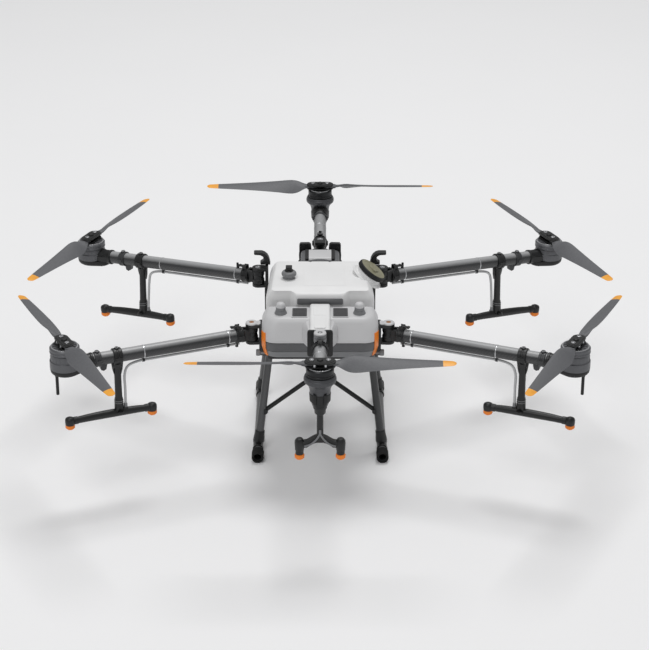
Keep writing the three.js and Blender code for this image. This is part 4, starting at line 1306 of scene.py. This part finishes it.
def make_airframe():
    base = Piece()
    base.prism(rounded(-204.5, 204.5, -284, 174.5, 20, 6), PLATE_BOTTOM + 0.4, PLATE_TOP - 0.4)
    base.prism(rounded(-85, 85, 168, 403, 6), PLATE_BOTTOM + 0.8, PLATE_TOP - 0.8)
    base.prism(rounded(-207, 207, 301, 359, 10), PLATE_BOTTOM + 1.2, PLATE_TOP - 1.2)
    for side in (-1, 1):
        base.prism(rounded(side * 190, side * 217, 93, 144, 3), PLATE_BOTTOM + 1, PLATE_TOP - 1)
        for y in (-260, -160, -60, 60, 150, 312, 348):
            socket_screw(base, (side * 196, y, PLATE_TOP - 1), 5, 3)
        for y in (-250, -150, 60, 150):
            base.block((side * 150, y, PLATE_BOTTOM - 0.2), (side * 196, y + 8, PLATE_BOTTOM + 2))
    base.done("base_plate", BLACK, BODY, "moulded_frame", bevel=1.4)
    bay = Piece()
    end = [
        (-85, 531), (85, 531), (85, 698), (80, 705), (44, 705.6), (37, 699), (34, 660), (26, 652), (-26, 652),
        (-34, 660), (-37, 699), (-44, 705.6), (-80, 705), (-85, 698)
    ]
    bay.prism(end, 385, 403.4, "y")
    for side in (-1, 1):
        wall = [(170, 531), (170, 600), (182, 622), (210, 638), (403, 638), (403, 531)]
        bay.prism(wall, side * 81.4, side * 85.6, "x")
        for y in (200, 260, 320, 380):
            bay.block((side * 85, y, 534), (side * 89, y + 6, 632))
    for x in (-60, 60):
        for z in (560, 620, 680):
            socket_screw(bay, (x, 403, z), 5, 1.2, (0, 1, 0))
    bay.done("battery_bay", BLACK, BODY, "moulded_frame", bevel=1.2)
    electronics = Piece()
    brackets = Piece()
    for side in (-1, 1):
        electronics.prism(rounded(side * 63, side * 169, -261, -193, 5), 531, 628)
        for k in range(10):
            x = min(side * 63, side * 169) + 6 + 10 * k
            electronics.block((x, -257, 626), (x + 3, -197, 635.6))
        brackets.prism(rounded(side * 196, side * 233.5, -256, -201, 5), 510, 636.5)
        post = [(93, 520), (144.4, 520), (144.4, 712), (138, 725.6), (100, 725.6), (93, 712)]
        brackets.prism(post, side * 205.4, side * 216.8, "x")
        for y in (94, 139):
            brackets.block((side * 216, y, 528), (side * 219.6, y + 4.5, 636))
        for z in (548, 600, 650, 704):
            socket_screw(brackets, (side * 216.6, 118, z), 4.6, 2.6, (side, 0, 0))
        for y in (-244, -212):
            socket_screw(brackets, (side * 214, y, 636), 4.4, 2.4)
    electronics.done("power_electronics", MATT_BLACK, BODY, "moulded_frame", bevel=0.8)
    brackets.done("arm_brackets", BLACK, BODY, "moulded_frame", bevel=1.2)
    for arm in ARMS:
        make_bracket(arm)


def make_hooks():
    base = 726.8
    claw = [
        (197, base), (235, base), (237, base + 7), (227, base + 13), (221.5, base + 23), (226, base + 34),
        (236, base + 40), (258, base + 41.4), (261, base + 44), (261.5, base + 49), (258, base + 50.4),
        (231, base + 50.4), (219, base + 46), (209, base + 37), (202, base + 24)
    ]
    for side, sign in (("left", -1), ("right", 1)):
        hook = Piece()
        outline = [(sign * x, z) for x, z in claw]
        hook.prism(outline, 120.4, 149.6, "y")
        rib = [
            (sign * x, z) for x, z in ((204, base + 2), (216, base + 2), (214, base + 34), (207, base + 30))
        ]
        hook.prism(rib, 119.2, 150.8, "y")
        for y in (127, 143):
            socket_screw(hook, (sign * 229, y, base + 6), 4, 3)
        node = "storage_hook_" + side
        hook.done("claw_" + side, BLACK, BODY, "moulded_frame", replaces=[node], bevel=1.6)


# ---------------------------------------------------------------- battery and pump
def make_battery():
    case = Piece()
    levels = [(531, 4), (534, 1), (538, 0), (668, 0), (676, 2), (681, 6), (683.6, 12)]
    case.skin(
        [[(x, y, z) for x, y in rounded(-78.5 + i, 78.5 - i, 173.6 + i, 379.6 - i, 12, 6)] for z, i in levels]
    )
    case.done("battery_case", CASE, "battery", "battery_case", replaces=["battery"], bevel=0)
    ribs = Piece()
    for side in (-1, 1):
        for k in range(8):
            y = 196 + 22 * k
            ribs.block((side * 78, y, 545), (side * 80.4, y + 7, 655))
    for x0, x1 in ((-60, -47), (47, 60)):
        ribs.prism(rounded(x0, x1, 262, 360, 5), 682, 692)
    ribs.prism(rounded(-62, 62, 190, 254, 8), 682, 685.4)
    ribs.prism(rounded(-34, 34, 356, 374, 5), 682, 686)
    ribs.done("battery_ribs", MATT_BLACK, "battery", "battery_case", bevel=0.8)
    handle = Piece()
    arch = [
        (266, 682), (280, 682), (284, 687.6), (344, 687.6), (348, 682), (362, 682), (358, 690), (350, 694),
        (278, 694), (270, 690)
    ]
    handle.prism(arch, -46, 46, "x")
    handle.done("battery_handle", SHELL, "battery", "battery_case", bevel=1.8)


def make_pump():
    body = Piece()
    body.prism(rounded(-54, 54, -148, 18, 16, 6), 404, 507)
    for k in range(9):
        z = 414 + 10 * k
        body.prism(rounded(-56, 56, -150, 20, 17, 6), z, z + 3.6)
    body.turned(
        [(0, 345), (34, 345), (38, 349), (38, 356), (34, 359), (34, 384), (38, 388), (38, 405), (0, 405)], 56,
        shift(0, -68, 0)
    )
    for k in range(6):
        a = TAU * k / 6
        socket_screw(body, (34 * math.cos(a), -68 + 34 * math.sin(a), 388), 3.4, -3)
    body.done("pump_body", MATT_BLACK, BODY, "moulded_frame", replaces=["pump"], bevel=0.9)
    foot = Piece()
    foot.block((-30, -90, 338), (30, -46, 346.5))
    foot.prism(
        [
            (-30, 300), (-20, 300), (-20, 318), (-12, 334), (12, 334), (20, 318), (20, 300), (30, 300),
            (30, 340), (-30, 340)
        ],
        -88, -48, "y"
    )
    for x in (-23, 23):
        for y in (-82, -54):
            socket_screw(foot, (x, y, 346), 3.6, 2.6)
    foot.done("pump_foot", BLACK, BODY, "moulded_frame", bevel=1.2)
    ports = Piece()
    for side in (-1, 1):
        for y in (-112, -18):
            turn = shift(side * 52, y, 448) @ Matrix.Rotation(side * math.pi / 2, 4, "Y")
            ports.turned(
                [(0, 0), (16, 0), (16, 6), (12, 7), (12, 16), (14, 17), (14, 22), (9, 23), (9, 30), (0, 30)],
                32, turn
            )
    ports.done("pump_ports", GREY_MOULD, BODY, "moulded_frame", bevel=0.6)


# ---------------------------------------------------------------- landing gear
SKID_X = 248
SKID_FRONT = -187
SKID_REAR = 477
FOOT_R = 24
FOOT_LENGTH = 52
LEGS = [((SKID_X, -78, 30), (188, -60, 520)), ((SKID_X, 400, 30), (188, 330, 520))]


def make_gear(side, sign):
    at = shift(sign * SKID_X, 0, FOOT_R)
    skid = Piece()
    length = [(SKID_TUBE_R - 2, SKID_FRONT + 8), (SKID_TUBE_R, SKID_FRONT + 8), (SKID_TUBE_R, SKID_REAR - 8),
              (SKID_TUBE_R - 2, SKID_REAR - 8)]
    skid.turned(length, 56, ALONG_Y)
    skid.moved(Matrix.Rotation(-math.pi / 2, 4, "Z"))
    placed = at @ Matrix.Rotation(math.pi / 2, 4, "Z")
    skid.done("skid_" + side, SKID_CARBON, BODY, "skid_carbon", placed, ["landing_gear_" + side], bevel=0.4)
    clamps = Piece()
    for number, (foot, top) in enumerate(LEGS):
        a = Vector((sign * foot[0], foot[1], foot[2]))
        b = Vector((sign * top[0], top[1], top[2]))
        end = a + (b - a) * (507.4 - a.z) / (b.z - a.z)
        leg = Piece()
        unit = (end - a).normalized()
        turn = facing(unit)
        span = (end - a).length - 6
        profile = [
            (12, 18), (16, 18), (15.6, span * 0.25), (15, span * 0.5), (14.4, span * 0.75), (14, span),
            (12, span)
        ]
        leg.turned(profile, 56)
        leg.moved(ALONG_X)
        placed = Matrix.Translation(a) @ turn @ Matrix.Rotation(-math.pi / 2, 4, "Y")
        leg.done(
            f"leg_{side}_{'front' if number == 0 else 'rear'}", SKID_CARBON, BODY, "skid_carbon", placed,
            bevel=0.4
        )
        y = foot[1]
        sleeve = [(SKID_BORE_R, y - 38), (20, y - 38), (21.5, y - 36), (21.5, y - 30), (20, y - 28)]
        clamps.turned(mirrored(sleeve, y), 48, at @ ALONG_Y)
        collar = [(16.2, 12), (21, 12), (23, 16), (22, 30), (20, 46), (19.6, 60), (18.4, 62), (16.2, 62)]
        clamps.turned(collar, 48, Matrix.Translation(a) @ turn)
        upper = [
            (14.2, span - 58), (17.6, span - 58), (18.6, span - 55), (19, span - 30), (21.5, span - 12),
            (21.5, span), (14.2, span)
        ]
        clamps.turned(upper, 48, Matrix.Translation(a) @ turn)
        for s in (-1, 1):
            socket_screw(clamps, (a.x, y + s * 33, FOOT_R + 21), 3.4, 2.6)
        plate = rounded(end.x - 26, end.x + 26, end.y - 24, end.y + 24, 6)
        clamps.prism([(x, y) for x, y in plate], 500, 507.4)
    clamps.done("gear_clamps_" + side, BLACK, BODY, "moulded_frame")
    feet = Piece()
    for start in (SKID_FRONT, SKID_REAR - FOOT_LENGTH):
        profile = [(SKID_BORE_R, start), (FOOT_R - 3, start), (FOOT_R, start + 3)]
        for k in range(6):
            y = start + 6 + 7 * k
            profile += [(FOOT_R, y), (FOOT_R - 1.2, y + 1), (FOOT_R - 1.2, y + 3), (FOOT_R, y + 4)]
        profile += [
            (FOOT_R, start + FOOT_LENGTH - 3), (FOOT_R - 3, start + FOOT_LENGTH),
            (SKID_BORE_R, start + FOOT_LENGTH)
        ]
        feet.turned(profile, 56, at @ ALONG_Y)
        x = sign * SKID_X
        feet.block((x - 9.5, start + 3, 0), (x + 9.5, start + FOOT_LENGTH - 3, 8))
    feet.done("skid_sleeves_" + side, RUBBER, BODY, "skid_carbon", bevel=0.5)
    brace = Piece()
    lower = Vector((sign * 220, -72, 178))
    upper = Vector((sign * 34, -68, 321))
    brace.rod(lower, upper, 9, 9, 32)
    for point in (lower, upper):
        brace.turned(mirrored([(0, -15), (11.5, -15), (13, -12)]), 36, Matrix.Translation(point) @ ALONG_Y)
    brace.done("brace_rod_" + side, BLACK, BODY, "moulded_frame", replaces=["brace_" + side], bevel=0.9)


make_tank()
make_cap()
make_hood()
make_nose()
make_airframe()
make_hooks()
make_battery()
make_pump()
make_gear("left", -1)
make_gear("right", 1)


# ---------------------------------------------------------------- floor, light, camera
def add_floor():
    mesh = bpy.data.meshes.new("floor")
    h = FLOOR_HALF * MM
    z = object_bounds()[0][2]
    mesh.from_pydata([(-h, -h, z), (h, -h, z), (h, h, z), (-h, h, z)], [], [(0, 1, 2, 3)])
    mesh.materials.append(floor_paint("floor_paint"))
    floor = bpy.data.objects.new("floor", mesh)
    bpy.context.scene.collection.objects.link(floor)


add_camera()
add_world()
for name, light in LIGHTS.items():
    add_area_light(name, *light)
add_floor()
